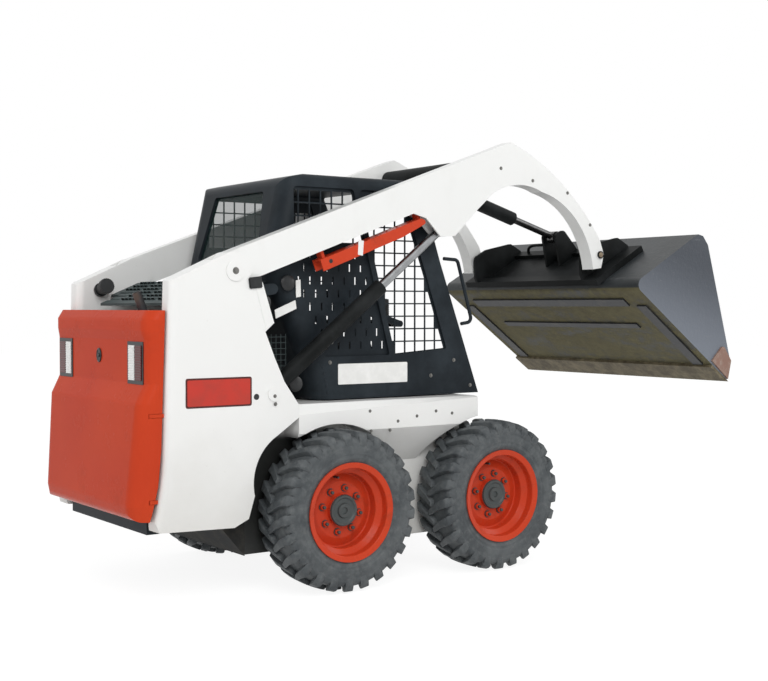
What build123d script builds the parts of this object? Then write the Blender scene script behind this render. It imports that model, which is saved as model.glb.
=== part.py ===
from build123d import *
import os
from math import atan2, cos, degrees, hypot, radians, sin

# Skid steer loader, in millimetres: +X forward, +Y left, +Z up, wheels on Z = 0.
# The working datum has X = 0 at the rear axle; everything is shifted by ORIGIN_X on export,
# so that the part's origin lies under the middle of its length.
# "Side outline" below means a face drawn in X and Z; slab() makes it solid between two Y values.

# ---------------------------------------------------------------- driving sizes
ORIGIN_X = 734.0            # from the rear axle to the middle of the overall length
WHEELBASE = 906.0
TYRE_R = 375.0              # rolling radius, also the hub height
TYRE_OUT = 700.0            # Y of the tyre's outer face
TYRE_W = 250.0
TYRE_BULGE = 70.0           # widest part of the side wall, above the rim seat
RIM_R = 229.0               # rim flange
RIM_SEAT_R = 209.0
RIM_DISC_Y = 596.0          # outer face of the wheel disc
HUB_R = 72.0
AXLE_R = 34.0               # axle stub in the hub
AXLE_TUBE_R = 62.0

RUN = 0.05                  # running clearance of a pin or rod in its bore, on the radius
CLEAR = 6.0                 # between pieces that move past each other

BODY_OUT = 565.0            # Y of the outer face of uprights and fenders
SHEET = 8.0                 # plate thickness of frame and uprights
UPRIGHT_W = 108.0
FRAME_HALF = 430.0          # chaincase walls
REAR_HALF = BODY_OUT - UPRIGHT_W
CHAINCASE_W = 170.0
LEDGE_Z = 870.0             # top of the fenders
SHOULDER = 26.0             # width of the fender's sloped shoulder
CREASE_REAR = 822.0         # height of the shoulder's lower edge at the fender's two ends
CREASE_FRONT = 864.0
REAR_ROUND = 30.0           # round of the uprights' rear outer edge
REAR_ROUND_IN = 36.0        # and of their rear inner edge
BELLY_Z = 185.0
FRAME_FRONT = WHEELBASE - 56.0
FENDER_REAR = -205.0
FRAME_REAR = -430.0
WHEEL_WELL_R = TYRE_R + 22.0

ARM_PIVOT = (-533.0, 1476.0)
ARM_PIN_R = 30.0
ARM_ANGLE = 20.2            # slope of the arm's straight tube at rest
ARM_ABOVE = 86.0            # from the pivot up to the tube's top, square to the tube
ARM_BELOW = 67.0
ARM_SHEET = 9.0
ARM_W = UPRIGHT_W - 2 * (SHEET + CLEAR - 1)
ARM_OUT = BODY_OUT - SHEET - CLEAR + 1
ARM_MID = ARM_OUT - ARM_W / 2
LIFT_PIN = (657.0, 1705.0)      # lift cylinder's rod eye, on the arm
LIFT_BASE = (-335.0, 925.0)     # lift cylinder's base, in the upright
CROSS_TUBE = (1040.0, 2040.0)
CROSS_R = 50.0
TILT_BASE = (1087.0, 1957.0)
BUCKET_PIN = (1713.0, 1597.0)   # arm to quick-attach frame
BUCKET_PIN_R = 20.0

GRILLE_Z = 1437.0               # top of the engine lid
GRILLE_T = 12.0
GRILLE_HALF = REAR_HALF - 9.0
LOUVRE_ROWS = 6
LOUVRE_PITCH = 38.0
LOUVRE_GAP = 16.0
GRILLE_EDGE_R = GRILLE_T / 2
GRILLE_HINGE = (-410.0, GRILLE_Z - GRILLE_EDGE_R)   # the lid's front edge, which it lifts about
FUEL_CAP = (-730.0, 1399.0)     # foot of the filler neck on the left upright
FUEL_CAP_R = 36.0
FUEL_NECK = 62.0                # length of the neck up to the cap
FUEL_CAP_T = 30.0
FUEL_TILT = 14.0                # degrees that the neck points up
EXHAUST_Y = -222.0
EXHAUST_R = 20.0
EXHAUST_ROUTE = [(-805.0, 1005.0), (-805.0, 1275.0), (-847.0, 1382.0)]    # X and Z, up from the engine
ENGINE = (-835.0, 245.0, 400.0, 1010.0)     # rear X, half width, lower and upper Z

TIE_DOWN = (-858.0, 328.0)      # centre of the tie-down holes in the rear bumper's flange
TIE_DOWN_Y = 300.0
TIE_DOWN_R = 14.0
TIE_DOWN_T = 12.0

DOOR_HALF = 535.0
DOOR_WALL = 14.0
DOOR_GAP = 7.5                  # between the door and the uprights' rear edges
DOOR_HINGE = (-925.0, -528.0)   # X and Y of the door's upright hinge axis
DOOR_PIN_R = 4.0
LUG_R = 7.0
LUG_T = 16.0
DOOR_LOW = 395.0
DOOR_TOP = 1302.0
DOOR_RECESS = -930.0            # X of the rear face between the lamps
DOOR_FORM = [                   # Z, X of the rear face, corner radius in plan, corner radius in side view
    (DOOR_LOW, -994, 98, 44), (460, -1006, 96, 60), (900, -973, 64, 50), (985, DOOR_RECESS, 60, 40),
    (1172, DOOR_RECESS, 60, 40), (1214, -941, 72, 30), (1262, -941, 72, 40), (DOOR_TOP, -916, 72, 24),
]
DOOR_LUGS = (480.0, 850.0)      # heights of the two hinge lugs
LAMP = (315.0, 473.0, 981.0, 1166.0)    # Y and Z of the tail lamps' two edges
LAMP_PROUD = 4.0
LAMP_T = 29.0

TILT_PIN_ALONG = 213.5          # tilt cylinder's pin on the quick-attach frame, up from the bucket pin
TILT_PIN_BACK = 23.0            # and back from it
LIFT_BARREL = 790.0             # base pin to the end of the barrel
LIFT_PISTON = 425.0             # base pin to the piston's closed face at rest
TILT_BARREL = 500.0
TILT_PISTON = 347.0
PISTON_T = 20.0
GLAND_T = 20.0
BACK_ANGLE = 29.2               # slope of the bucket's back at rest
BACK_GAP = 134.0                # bucket pin to the bucket's back
BUCKET_HALF = 815.0
BUCKET_SHEET = 8.0

CAB_HALF = 435.0
CAB_WALL = 25.0
CAB_TOP = 1942.0
CAB_ROOF_T = 30.0
WINDOW_TOP = CAB_TOP - 62.0     # upper edge of the side openings
CAB_ROUND = 90.0                # plan round of the two rear corners
CAB_ROOF_ROUND = 45.0           # round along both sides of the roof
CAB_KNEE = (-281.0, 1510.0)     # the cab's rearmost corner, below the rear window
CAB_PIVOT = (-266.0, 1400.0)
CAB_PIN_R = 16.0
CAB_BOTTOM = LEDGE_Z + CLEAR
SCREEN_T = 5.0
SCREEN_IN = 14.0                # the side screens' outer face, in from the cab's sides
MESH_PITCH = 62.0
MESH_BAR = 7.0
SLOTS_TOP = 1600.0


# ---------------------------------------------------------------- helpers
def outline(rows):
    """A face from corner rows; columns: first coordinate, second coordinate, corner radius."""
    face = make_face(Polyline(*[(u, v) for u, v, _ in rows], close=True))
    for u, v, radius in rows:
        if radius:
            corner = face.vertices().sort_by_distance(Vector(u, v))[0]
            face = fillet(corner, radius)
    return face


def slab(face, y_low, y_high):
    """A side outline made solid between two Y values."""
    return extrude(Plane.XZ.offset(-y_high) * face, amount=y_high - y_low)


def disc(place, radius, y_low, y_high):
    """A round bar along Y at an (X, Z) place."""
    return slab(Pos(*place) * Circle(radius), y_low, y_high)


def block(x_low, x_high, y_low, y_high, z_low, z_high):
    corner = (x_low, y_low, z_low)
    size = (x_high - x_low, y_high - y_low, z_high - z_low)
    return Pos(*corner) * Box(*size, align=(Align.MIN, Align.MIN, Align.MIN))


def both_sides(solid):
    return [solid, mirror(solid, Plane.XZ)]


def from_pivot(origin, angle, along, across):
    """An (X, Z) place from an origin, measured along and across a slope in degrees."""
    c, s = cos(radians(angle)), sin(radians(angle))
    return (origin[0] + along * c - across * s, origin[1] + along * s + across * c)


def inset(rows, walls):
    """Corner rows moved inwards; walls holds one distance for each edge, negative to open a side."""
    count = len(rows)
    area = sum(rows[i][0] * rows[(i + 1) % count][1] - rows[(i + 1) % count][0] * rows[i][1]
               for i in range(count))
    turn = 1 if area > 0 else -1
    edges = []
    for i in range(count):
        (u0, v0, _), (u1, v1, _) = rows[i], rows[(i + 1) % count]
        span = hypot(u1 - u0, v1 - v0)
        du, dv = (u1 - u0) / span, (v1 - v0) / span
        edges.append((u0 - turn * dv * walls[i], v0 + turn * du * walls[i], du, dv))
    moved = []
    for i in range(count):
        (u0, v0, a0, b0), (u1, v1, a1, b1) = edges[i - 1], edges[i]
        reach = ((u1 - u0) * b1 - (v1 - v0) * a1) / (a0 * b1 - b0 * a1)
        moved.append((u0 + reach * a0, v0 + reach * b0, max(rows[i][2] - max(walls), 0)))
    return moved


def sloped_table(origin, angle, rows):
    """Corner rows given along and across a slope, as corner rows in X and Z."""
    return [(*from_pivot(origin, angle, along, across), radius) for along, across, radius in rows]


def plan_loft(rows, front_x, half, inwards=0.0):
    """A body from plan sections with two round rear corners; columns: Z, X of its rear, radius."""
    sections = []
    for z, rear_x, radius in rows:
        depth = front_x - rear_x - inwards
        plan = Pos(front_x - depth / 2, 0) * Rectangle(depth, 2 * (half - inwards))
        plan = fillet(plan.vertices().group_by(Axis.X)[0], radius - inwards)
        sections.append(Plane.XY.offset(z) * plan)
    return loft(sections, ruled=True)


# ---------------------------------------------------------------- wheels
def make_tyre():
    inner = TYRE_OUT - TYRE_W
    bulge = RIM_SEAT_R + min(TYRE_BULGE, 0.68 * (TYRE_R - RIM_SEAT_R))
    wall = TYRE_R - 4 - bulge
    shoulder, side = min(46, wall / 2), min(40, 0.44 * wall)
    round_in = min(30, 0.47 * (TYRE_R - 30 - bulge - 2))
    rows = [  # Y, radius, corner radius
        (inner + 26, RIM_SEAT_R, 0),
        (inner, bulge, side),
        (inner + 8, TYRE_R - 4, shoulder),
        (TYRE_OUT - TYRE_W / 2, TYRE_R, 0),
        (TYRE_OUT - 8, TYRE_R - 4, shoulder),
        (TYRE_OUT, bulge, side),
        (TYRE_OUT - 18, RIM_SEAT_R, 0),
    ]
    cavity = [
        (inner + 58, RIM_SEAT_R - 1, 0),
        (inner + 24, bulge + 2, round_in),
        (inner + 32, TYRE_R - 30, round_in),
        (TYRE_OUT - 32, TYRE_R - 30, round_in),
        (TYRE_OUT - 24, bulge + 2, round_in),
        (TYRE_OUT - 52, RIM_SEAT_R - 1, 0),
    ]
    return revolve(Plane.YZ * (outline(rows) - outline(cavity)), Axis.Y)


def make_rim():
    """Flanges, bead seats, drop centre and the dished disc with its hub, in one turned profile."""
    inner = TYRE_OUT - TYRE_W
    t = 7.0
    drop_r = RIM_SEAT_R - 34
    profile = [  # Y, radius, corner radius
        (inner + 24, RIM_SEAT_R, 0),
        (inner + 18, RIM_R, 0),
        (inner + 10, RIM_R, 0),
        (inner + 14, RIM_SEAT_R - t, 4),
        (inner + 64, RIM_SEAT_R - t, 6),
        (inner + 84, drop_r - t, 6),
        (RIM_DISC_Y - 26, drop_r - t, 6),
        (RIM_DISC_Y - 12, 138, 6),
        (RIM_DISC_Y - 12, HUB_R + 10, 0),
        (RIM_DISC_Y - 40, HUB_R + 10, 0),
        (RIM_DISC_Y - 40, AXLE_R + RUN, 0),
        (RIM_DISC_Y + 22, AXLE_R + RUN, 0),
        (RIM_DISC_Y + 22, HUB_R, 4),
        (RIM_DISC_Y, HUB_R, 0),
        (RIM_DISC_Y, 132, 5),
        (RIM_DISC_Y - 16, drop_r, 6),
        (TYRE_OUT - 70, drop_r, 6),
        (TYRE_OUT - 52, RIM_SEAT_R - t, 6),
        (TYRE_OUT - 12, RIM_SEAT_R - t, 5),
        (TYRE_OUT - 4, RIM_R, 0),
        (TYRE_OUT - 12, RIM_R, 0),
        (TYRE_OUT - 16, RIM_SEAT_R, 0),
        (TYRE_OUT - 56, RIM_SEAT_R, 5),
        (TYRE_OUT - 76, drop_r + t, 5),
        (inner + 88, drop_r + t, 5),
        (inner + 68, RIM_SEAT_R, 5),
    ]
    return revolve(Plane.YZ * outline(profile), Axis.Y)


def make_axles():
    """A tube from each chaincase to its wheel, with the stub that the hub turns on."""
    tube = disc((0, TYRE_R), AXLE_TUBE_R, FRAME_HALF, RIM_DISC_Y - 52)
    flange = disc((0, TYRE_R), AXLE_TUBE_R + 28, FRAME_HALF, FRAME_HALF + 14)
    stub = disc((0, TYRE_R), AXLE_R, RIM_DISC_Y - 52, RIM_DISC_Y + 16)
    axle = tube + flange + stub
    return Compound(both_sides(axle) + both_sides(Pos(WHEELBASE, 0, 0) * axle))


# ---------------------------------------------------------------- frame
def fender_section(x, crease_z):
    """Cross-section of the right fender at X; its shoulder falls from the ledge to crease_z."""
    rows = [  # Y, Z, corner radius
        (-FRAME_HALF + 1, 560, 0), (-FRAME_HALF, 560, 0), (-BODY_OUT, 735, 0), (-BODY_OUT, crease_z, 0),
        (-BODY_OUT + SHOULDER, LEDGE_Z, 0), (-FRAME_HALF + 1, LEDGE_Z, 0),
    ]
    return Plane.YZ.offset(x) * outline(rows)


def make_main_frame():
    """A tub between two chaincases, flared out over the tyres into the fenders."""
    middle = block(FENDER_REAR, FRAME_FRONT, -FRAME_HALF, 0, BELLY_Z, LEDGE_Z)
    fender = loft([fender_section(FENDER_REAR, CREASE_REAR), fender_section(FRAME_FRONT, CREASE_FRONT)],
                  ruled=True)
    rear = block(FRAME_REAR, FENDER_REAR, -FRAME_HALF, 0, BELLY_Z, LEDGE_Z)
    half = middle + fender + rear
    for axle_x in (0, WHEELBASE):
        half -= disc((axle_x, TYRE_R), WHEEL_WELL_R, -TYRE_OUT, -FRAME_HALF)
    well = FRAME_HALF - CHAINCASE_W
    half -= block(FRAME_REAR + 10, FRAME_FRONT - 10, -well, 1, BELLY_Z + 10, LEDGE_Z + 1)
    half -= slab(outline([
        (FRAME_FRONT - 60, BELLY_Z - 1, 0), (FRAME_FRONT + 1, BELLY_Z - 1, 0),
        (FRAME_FRONT + 1, BELLY_Z + 90, 0),
    ]), -BODY_OUT, 1)
    return half + mirror(half, Plane.XZ)


def make_engine_bay():
    """The open tray behind the tub: it carries the engine and ends at the door."""
    rows = [
        (-880, 335, 0), (-560, 335, 60), (FRAME_REAR, BELLY_Z, 0), (FRAME_REAR, 600, 0), (-880, 600, 0),
    ]
    tray = slab(outline(rows), -REAR_HALF, REAR_HALF)
    walls = [SHEET, SHEET, -1, -1, -1]
    return tray - slab(outline(inset(rows, walls)), -REAR_HALF + SHEET, REAR_HALF - SHEET)


REAR_EDGE = [(-845.0, 1429.0), (-871.0, 700.0), (-886.0, 546.0), (-914.0, 392.0)]  # upright's rear edge


def upright_outline():
    arch_start = (-437, 472)
    arch_mid = (-382, 693 - 8)
    arch_end = (-322, 734)
    p = ARM_PIVOT
    hood = ARM_ABOVE
    top_touch = from_pivot(p, 24.4, 0, hood)
    front_touch = from_pivot(p, 0, hood, 0)
    top, straight_end, _, bottom = REAR_EDGE
    slope = (straight_end[0] - top[0], straight_end[1] - top[1])
    lines = [
        Polyline(front_touch, (-463, 1440), (-395, 1428), (-335, 1244), (-381, 1205), (-332, 1086),
                 (-282, 978), (FENDER_REAR, LEDGE_Z), (FENDER_REAR, CREASE_REAR - 10), arch_end),
        ThreePointArc(arch_end, arch_mid, arch_start),
        Polyline(arch_start, (-468, 372), (-540, 339), (-902, 350), bottom),
        TangentArc(straight_end, bottom, tangent=slope),
        Line(straight_end, top),
        Line(top, top_touch),
        ThreePointArc(top_touch, from_pivot(p, 57, hood, 0), front_touch),
    ]
    return make_face(lines)


def make_upright():
    """A box of two plates joined round the rear, bottom and arch, and open to the front."""
    solid = slab(upright_outline(), -BODY_OUT, -REAR_HALF)
    for face_edges, radius in ((0, REAR_ROUND), (-1, REAR_ROUND_IN)):
        rear_edges = [
            edge for edge in solid.edges().group_by(Axis.Y)[face_edges]
            if edge.center().X < REAR_EDGE[0][0] and edge.center().Z > REAR_EDGE[-1][1]
        ]
        solid = fillet(rear_edges, radius)
    pocket = outline([
        (-822, 1425, 0), (-852, 700, 0), (-868, 546, 0), (-888, 392, 0), (-886, 358, 0), (-540, 350, 0),
        (-480, 380, 0), (-449, 475, 0), (-394, 690, 0), (-330, 746, 0), (-215, 822, 0),
        (-170, 872, 0), (-170, 1700, 0), (-620, 1700, 0), (-640, 1510, 0),
    ])
    solid -= slab(pocket, -BODY_OUT + SHEET, -REAR_HALF - SHEET)
    solid += disc(ARM_PIVOT, ARM_PIN_R, -BODY_OUT, -REAR_HALF)
    solid += disc(ARM_PIVOT, 46, -BODY_OUT - 6, -BODY_OUT)
    solid += disc(LIFT_BASE, 20, -BODY_OUT, -REAR_HALF)
    solid += disc(LIFT_BASE, 34, -BODY_OUT - 5, -BODY_OUT)
    return solid


def make_bumper():
    """An angle bar across the rear; two holes in its flange take tie-down hooks."""
    x, z = TIE_DOWN
    bar = block(x - 37, x - 22, -420, 420, z - TIE_DOWN_T / 2, z + 56)
    bar += block(x - 23, x + 28, -420, 420, z - TIE_DOWN_T / 2, z + TIE_DOWN_T / 2)
    for side in (-1, 1):
        bar -= Pos(x, side * TIE_DOWN_Y, z) * Cylinder(TIE_DOWN_R, TIE_DOWN_T + 2)
    return bar


def make_engine():
    rear_x, half, low, high = ENGINE
    return block(rear_x, FRAME_REAR - 10, -half, half, low, high)


def make_exhaust():
    """A pipe that rises from the engine and leans back over the door."""
    route = FilletPolyline(*[(x, EXHAUST_Y, z) for x, z in EXHAUST_ROUTE], radius=60)
    foot = Plane(origin=(EXHAUST_ROUTE[0][0], EXHAUST_Y, EXHAUST_ROUTE[0][1]))
    ring = Circle(EXHAUST_R) - Circle(EXHAUST_R - 3)
    return sweep(foot * ring, path=route) - make_engine()


def door_body(inwards):
    """The door's outer form, or its inside: plan sections met by the side outline that rounds them."""
    front = [(x - DOOR_GAP, z, 0) for x, z in REAR_EDGE[1:3]]
    rows = [(x, z, radius) for z, x, _, radius in DOOR_FORM]
    rows += [(REAR_EDGE[0][0] - DOOR_GAP - 5, DOOR_TOP, 0), *front, (-930, DOOR_LOW, 0)]
    walls = [inwards] * (len(DOOR_FORM) - 1) + [inwards, -60, -60, -60, inwards]
    side = outline(inset(rows, walls) if inwards else rows)
    plans = [(z, x, radius) for z, x, radius, _ in DOOR_FORM]
    return slab(side, -DOOR_HALF, DOOR_HALF) & plan_loft(plans, -700, DOOR_HALF, inwards)


def make_door():
    """A deep hollow door: bulged below, stepped in at the lamps, with an overhanging cap."""
    door = door_body(0) - door_body(DOOR_WALL) - Compound(both_sides(lamp_body()))
    x, y = DOOR_HINGE
    for z in DOOR_LUGS:
        low, high = z - LUG_T / 2 - 1.5, z + LUG_T / 2 + 1.5
        door -= block(x, -800, -DOOR_HALF - 1, y + LUG_R + 1.5, low, high)
        door -= block(x - LUG_R - 4, x + 1, -DOOR_HALF - 1, y, low, high)
        door -= Pos(x, y, z) * Cylinder(LUG_R + 1.5, high - low)
        door -= hinge_pin(z, DOOR_PIN_R + RUN)
    return door


def hinge_pin(z, radius):
    return Pos(*DOOR_HINGE, z) * Cylinder(radius, 60)


def make_door_hinges():
    """Two lugs behind the right upright, each with its pin."""
    lugs = []
    for z in DOOR_LUGS:
        plate = Pos(*DOOR_HINGE) * (Circle(LUG_R) + Pos(30, 0) * Rectangle(60, 2 * LUG_R))
        lug = extrude(Plane.XY.offset(z - LUG_T / 2) * plate, amount=LUG_T) - make_upright()
        lugs.append(lug.solids().sort_by(Axis.X)[0] + hinge_pin(z, DOOR_PIN_R))
    return Compound(lugs)


def lamp_body():
    face_x = DOOR_RECESS - LAMP_PROUD
    return block(face_x, face_x + LAMP_T, *LAMP)


def make_tail_lamps():
    return Compound(both_sides(lamp_body()))


def make_grille():
    """The engine lid: slotted, hinged on its round front edge, with a corner cut out for the fuel cap."""
    side = outline([
        (-775, 1322, 0), (-530, GRILLE_Z - GRILLE_T, 0), (GRILLE_HINGE[0], GRILLE_Z - GRILLE_T, 0),
        (GRILLE_HINGE[0], GRILLE_Z, 0), (-532, GRILLE_Z, 0), (-775, 1334, 0),
    ])
    grille = slab(side, -GRILLE_HALF, GRILLE_HALF)
    for row in range(LOUVRE_ROWS):
        x = -740 + LOUVRE_PITCH * row
        for bay in (-300, -100, 100, 300):
            grille -= block(x, x + LOUVRE_GAP, bay - 85, bay + 85, 1300, 1450)
    grille += disc(GRILLE_HINGE, GRILLE_EDGE_R, -GRILLE_HALF, GRILLE_HALF)
    room = FUEL_CAP_R + 3 * CLEAR
    depth = FUEL_NECK + FUEL_CAP_T + 3 * CLEAR
    return grille - block(-800, FUEL_CAP[0] + room, REAR_HALF - depth, REAR_HALF, 1300, 1450)


def make_engine_cowl():
    """Beam between the uprights, the plate on it, and the pins that the cab tilts on."""
    step_x = GRILLE_HINGE[0] + GRILLE_EDGE_R + CLEAR
    cowl = block(-455, step_x + 6, 0, REAR_HALF, 1372, GRILLE_Z - GRILLE_T - CLEAR)
    cowl += block(step_x, step_x + 6, 0, REAR_HALF - 20, 1372, GRILLE_Z)
    cowl += block(step_x, -305, 0, REAR_HALF - 20, GRILLE_Z - 8, GRILLE_Z)
    bracket = outline([
        (-500, 1350, 0), (-500, 1412, 0), (-266, 1424, 24), (-242, 1400, 22), (-266, 1374, 22),
    ])
    cowl += slab(bracket, REAR_HALF - 12, REAR_HALF)
    cowl += disc(CAB_PIVOT, CAB_PIN_R, 300, REAR_HALF)
    return cowl + mirror(cowl, Plane.XZ)


# ---------------------------------------------------------------- cab
CAB_SIDE = [  # X, Z, corner radius
    (-25, CAB_BOTTOM, 0), (-78, 1050, 0), (-240, 1400, 0), (*CAB_KNEE, 0), (-190, CAB_TOP - 25, 60),
    (-80, CAB_TOP, 80), (540, CAB_TOP, 30), (664, 1676, 0), (709, 1542, 0), (838, 1198, 0),
    (958, CAB_BOTTOM, 0),
]
CAB_REAR = CAB_SIDE[:5]
CAB_WALLS = [CAB_WALL] * 4 + [CAB_ROOF_T] * 2 + [-100] * 5


def cab_windows():
    front = outline([(430, 1080, 10), (752, 1103, 10), (620, 1480, 0), (470, WINDOW_TOP, 20),
                     (215, WINDOW_TOP, 20)])
    rear = outline([(20, 1080, 10), (398, 1080, 10), (183, WINDOW_TOP, 20), (-150, WINDOW_TOP, 20),
                    (-150, 1520, 10), (-110, 1380, 10)])
    return front, rear


def cab_body(inwards):
    """The cab's outer form, or its inside: round rear corners in plan, round sides of the roof."""
    plans = [(z, x, CAB_ROUND) for x, z, _ in CAB_REAR]
    (x0, z0, _), (x1, z1, _) = CAB_REAR[-2:]
    plans[-1] = (CAB_TOP + 1, x0 + (x1 - x0) * (CAB_TOP + 1 - z0) / (z1 - z0), CAB_ROUND)
    if inwards:
        plans[0] = (CAB_BOTTOM - 1, *plans[0][1:])
    body = plan_loft(plans, 1100, CAB_HALF, inwards)
    roof = CAB_TOP - (CAB_ROOF_T if inwards else 0)
    section = Pos(0, (roof + 700) / 2) * Rectangle(2 * (CAB_HALF - inwards), roof - 700)
    section = fillet(section.vertices().group_by(Axis.Y)[-1], CAB_ROOF_ROUND - inwards)
    return body & extrude(Plane.YZ.offset(-400) * section, amount=1600)


def cab_inside():
    return cab_body(CAB_WALL) & slab(outline(inset(CAB_SIDE, CAB_WALLS)), -CAB_HALF, CAB_HALF)


def make_cab_shell():
    solid = slab(outline(CAB_SIDE), -CAB_HALF, CAB_HALF) & cab_body(0)
    solid -= cab_inside()
    for window in cab_windows():
        solid -= slab(window, -CAB_HALF - 1, CAB_HALF + 1)
    solid -= extrude(Plane.YZ.offset(-400) * rear_window(), amount=400)
    lug = outline([(-230, 1440, 0), (-266, 1428, 26), (-292, 1400, 26), (-266, 1372, 26), (-222, 1372, 0)])
    lug = slab(lug, 310, 330) - disc(CAB_PIVOT, CAB_PIN_R + RUN, 300, 340)
    return solid + lug + mirror(lug, Plane.XZ)


def pierced(window, pitch_u, pitch_v, hole, shift, low, high):
    """The holes of a regular pattern that lie inside a window; shift moves every other row."""
    box = window.bounding_box()
    room = offset(window, amount=-6)
    holes = []
    rows = int((high - low) // pitch_v)
    columns = int((box.max.X - box.min.X) // pitch_u) + 2
    for row in range(rows):
        for column in range(columns):
            u = box.min.X + column * pitch_u + (shift if row % 2 else 0)
            spot = Pos(u, low + (row + 0.5) * pitch_v) * hole & room
            if spot and sum(face.area for face in spot.faces()) > 0.35 * hole.area:
                holes += spot.faces()
    return holes


def make_side_screen():
    """A sheet behind both side openings: slots low at the rear, square mesh elsewhere."""
    front, rear = cab_windows()
    mesh = Rectangle(MESH_PITCH - MESH_BAR, MESH_PITCH - MESH_BAR)
    slot = Rectangle(9, 36)
    holes = pierced(front, MESH_PITCH, MESH_PITCH, mesh, 0, 1084, WINDOW_TOP)
    holes += pierced(rear, MESH_PITCH, MESH_PITCH, mesh, 0, SLOTS_TOP + 20, WINDOW_TOP)
    holes += pierced(rear, 64, 62, slot, 32, 1100, SLOTS_TOP)
    face_y = -CAB_HALF + SCREEN_IN
    sheet = slab(front, face_y, face_y + SCREEN_T) + slab(rear, face_y, face_y + SCREEN_T)
    cuts = [slab(hole, face_y - 1, face_y + SCREEN_T + 1) for hole in holes]
    return sheet - cuts


def rear_window():
    """The rear opening, wider at its foot."""
    top = WINDOW_TOP - 15
    return outline([(-300, 1545, 20), (300, 1545, 20), (240, top, 20), (-240, top, 20)])


def make_rear_screen():
    """A sheet that closes the rear opening, level with the middle of the wall."""
    (x0, z0, _), (x1, z1, _) = CAB_REAR[-2:]
    rows = [(x0 + CAB_WALL / 2, z0), (x1 + CAB_WALL / 2, z1)]
    rows = [(x, z, 0) for x, z in rows] + [(x + SCREEN_T, z, 0) for x, z in reversed(rows)]
    sheet = slab(outline(rows), -CAB_HALF, CAB_HALF)
    return sheet & extrude(Plane.YZ.offset(-400) * rear_window(), amount=400)


def make_cab_floor():
    pan = outline([
        (-3, CAB_BOTTOM, 0), (900, CAB_BOTTOM, 0), (900, CAB_BOTTOM + 8, 0),
        (330, CAB_BOTTOM + 8, 0), (330, 1060, 20), (-55, 1060, 0), (-52, 1050, 0),
    ])
    return slab(pan, -CAB_HALF + CAB_WALL, CAB_HALF - CAB_WALL) & cab_inside()


def make_seat():
    cushion = outline([
        (-20, 1060, 0), (330, 1060, 30), (345, 1150, 40), (60, 1130, 30), (-70, 1560, 40),
        (-160, 1540, 40),
    ])
    return slab(cushion, -240, 240)


LEVER_Y = CAB_HALF - 145.0


def make_levers():
    stick = Pos(470, 0, 0) * (
        Pos(0, LEVER_Y, CAB_BOTTOM + 208) * Cylinder(11, 400) + Pos(0, LEVER_Y, 1310) * Cylinder(20, 90)
    )
    return Compound(both_sides(stick))


SEAT_BAR_PIVOT = (60.0, 1383.0)
SEAT_BAR_OUT = CAB_HALF - 79.0  # outer face of its two arms


def make_seat_bar():
    reach = outline([(40, 1398, 0), (52, 1368, 0), (515, 1215, 12), (527, 1245, 12)])
    arm = slab(reach, SEAT_BAR_OUT - 26, SEAT_BAR_OUT)
    arm += disc(SEAT_BAR_PIVOT, 12, SEAT_BAR_OUT - 26, CAB_HALF - CAB_WALL - 1)
    bar = disc((520, 1232), 16, -SEAT_BAR_OUT, SEAT_BAR_OUT)
    return arm + mirror(arm, Plane.XZ) + bar


def make_handles():
    route = FilletPolyline((742, 0, 1560), (830, 0, 1555), (925, 0, 1240), (855, 0, 1230), radius=25)
    loop = sweep(Plane(origin=(742, 0, 1560), z_dir=(88, 0, -5)) * Circle(9), path=route)
    return Compound(both_sides(Pos(0, CAB_HALF - 12, 0) * loop))


# ---------------------------------------------------------------- lift arms
def arm_outline():
    """Straight tube from the pivot, a lug for the lift cylinder, then the curved front leg."""
    p = ARM_PIVOT
    heel_top = from_pivot(p, ARM_ANGLE, 0, ARM_ABOVE)
    heel_back = from_pivot(p, ARM_ANGLE, -76, 10)
    heel_low = from_pivot(p, ARM_ANGLE, 0, -ARM_BELOW)
    knee = (1078, 2159)
    lines = [
        Line(heel_top, knee),
        ThreePointArc(knee, (1425, 1972), (1712, 1677)),
        Polyline((1712, 1677), (1742, 1600), (1722, 1526), (1662, 1518)),
        ThreePointArc((1662, 1518), (1545, 1770), (1290, 1915)),
        ThreePointArc((1290, 1915), (1110, 1942), (952, 1886)),
        Polyline((952, 1886), (860, 1807), (712, 1668), (622, 1662), (533, 1749),
                 from_pivot(p, ARM_ANGLE, 1030, -ARM_BELOW), heel_low),
        ThreePointArc(heel_low, heel_back, heel_top),
    ]
    return make_face(lines)


def make_arm():
    side = arm_outline()
    low, high = -ARM_OUT, -ARM_OUT + ARM_W
    solid = slab(side, low, high)
    hollow = sloped_table(ARM_PIVOT, ARM_ANGLE, [
        (1030, -230, 0), (1330, -300, 0), (1330, ARM_ABOVE - ARM_SHEET, 0),
        (1030, ARM_ABOVE - ARM_SHEET, 0),
    ])
    solid -= slab(outline(hollow), low + ARM_SHEET, high - ARM_SHEET)
    solid -= disc(ARM_PIVOT, ARM_PIN_R + RUN, low - 1, high + 1)
    solid -= disc(BUCKET_PIN, BUCKET_PIN_R + RUN, low - 1, high + 1)
    return solid


def make_crossmember():
    tube = disc(CROSS_TUBE, CROSS_R, -ARM_OUT + ARM_W, ARM_OUT - ARM_W)
    lug = slab(outline([
        (CROSS_TUBE[0] - 20, CROSS_TUBE[1] - 20, 0), (CROSS_TUBE[0] + 40, CROSS_TUBE[1] - 10, 0),
        (TILT_BASE[0] + 38, TILT_BASE[1] - 6, 12), (TILT_BASE[0] + 10, TILT_BASE[1] - 38, 12),
        (TILT_BASE[0] - 34, TILT_BASE[1] - 18, 12),
    ]), 32, 48)
    lug -= disc(CROSS_TUBE, CROSS_R - 0.5, 0, 100)
    pin = disc(TILT_BASE, 16, -52, 52)
    return tube + lug + mirror(lug, Plane.XZ) + pin


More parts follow.
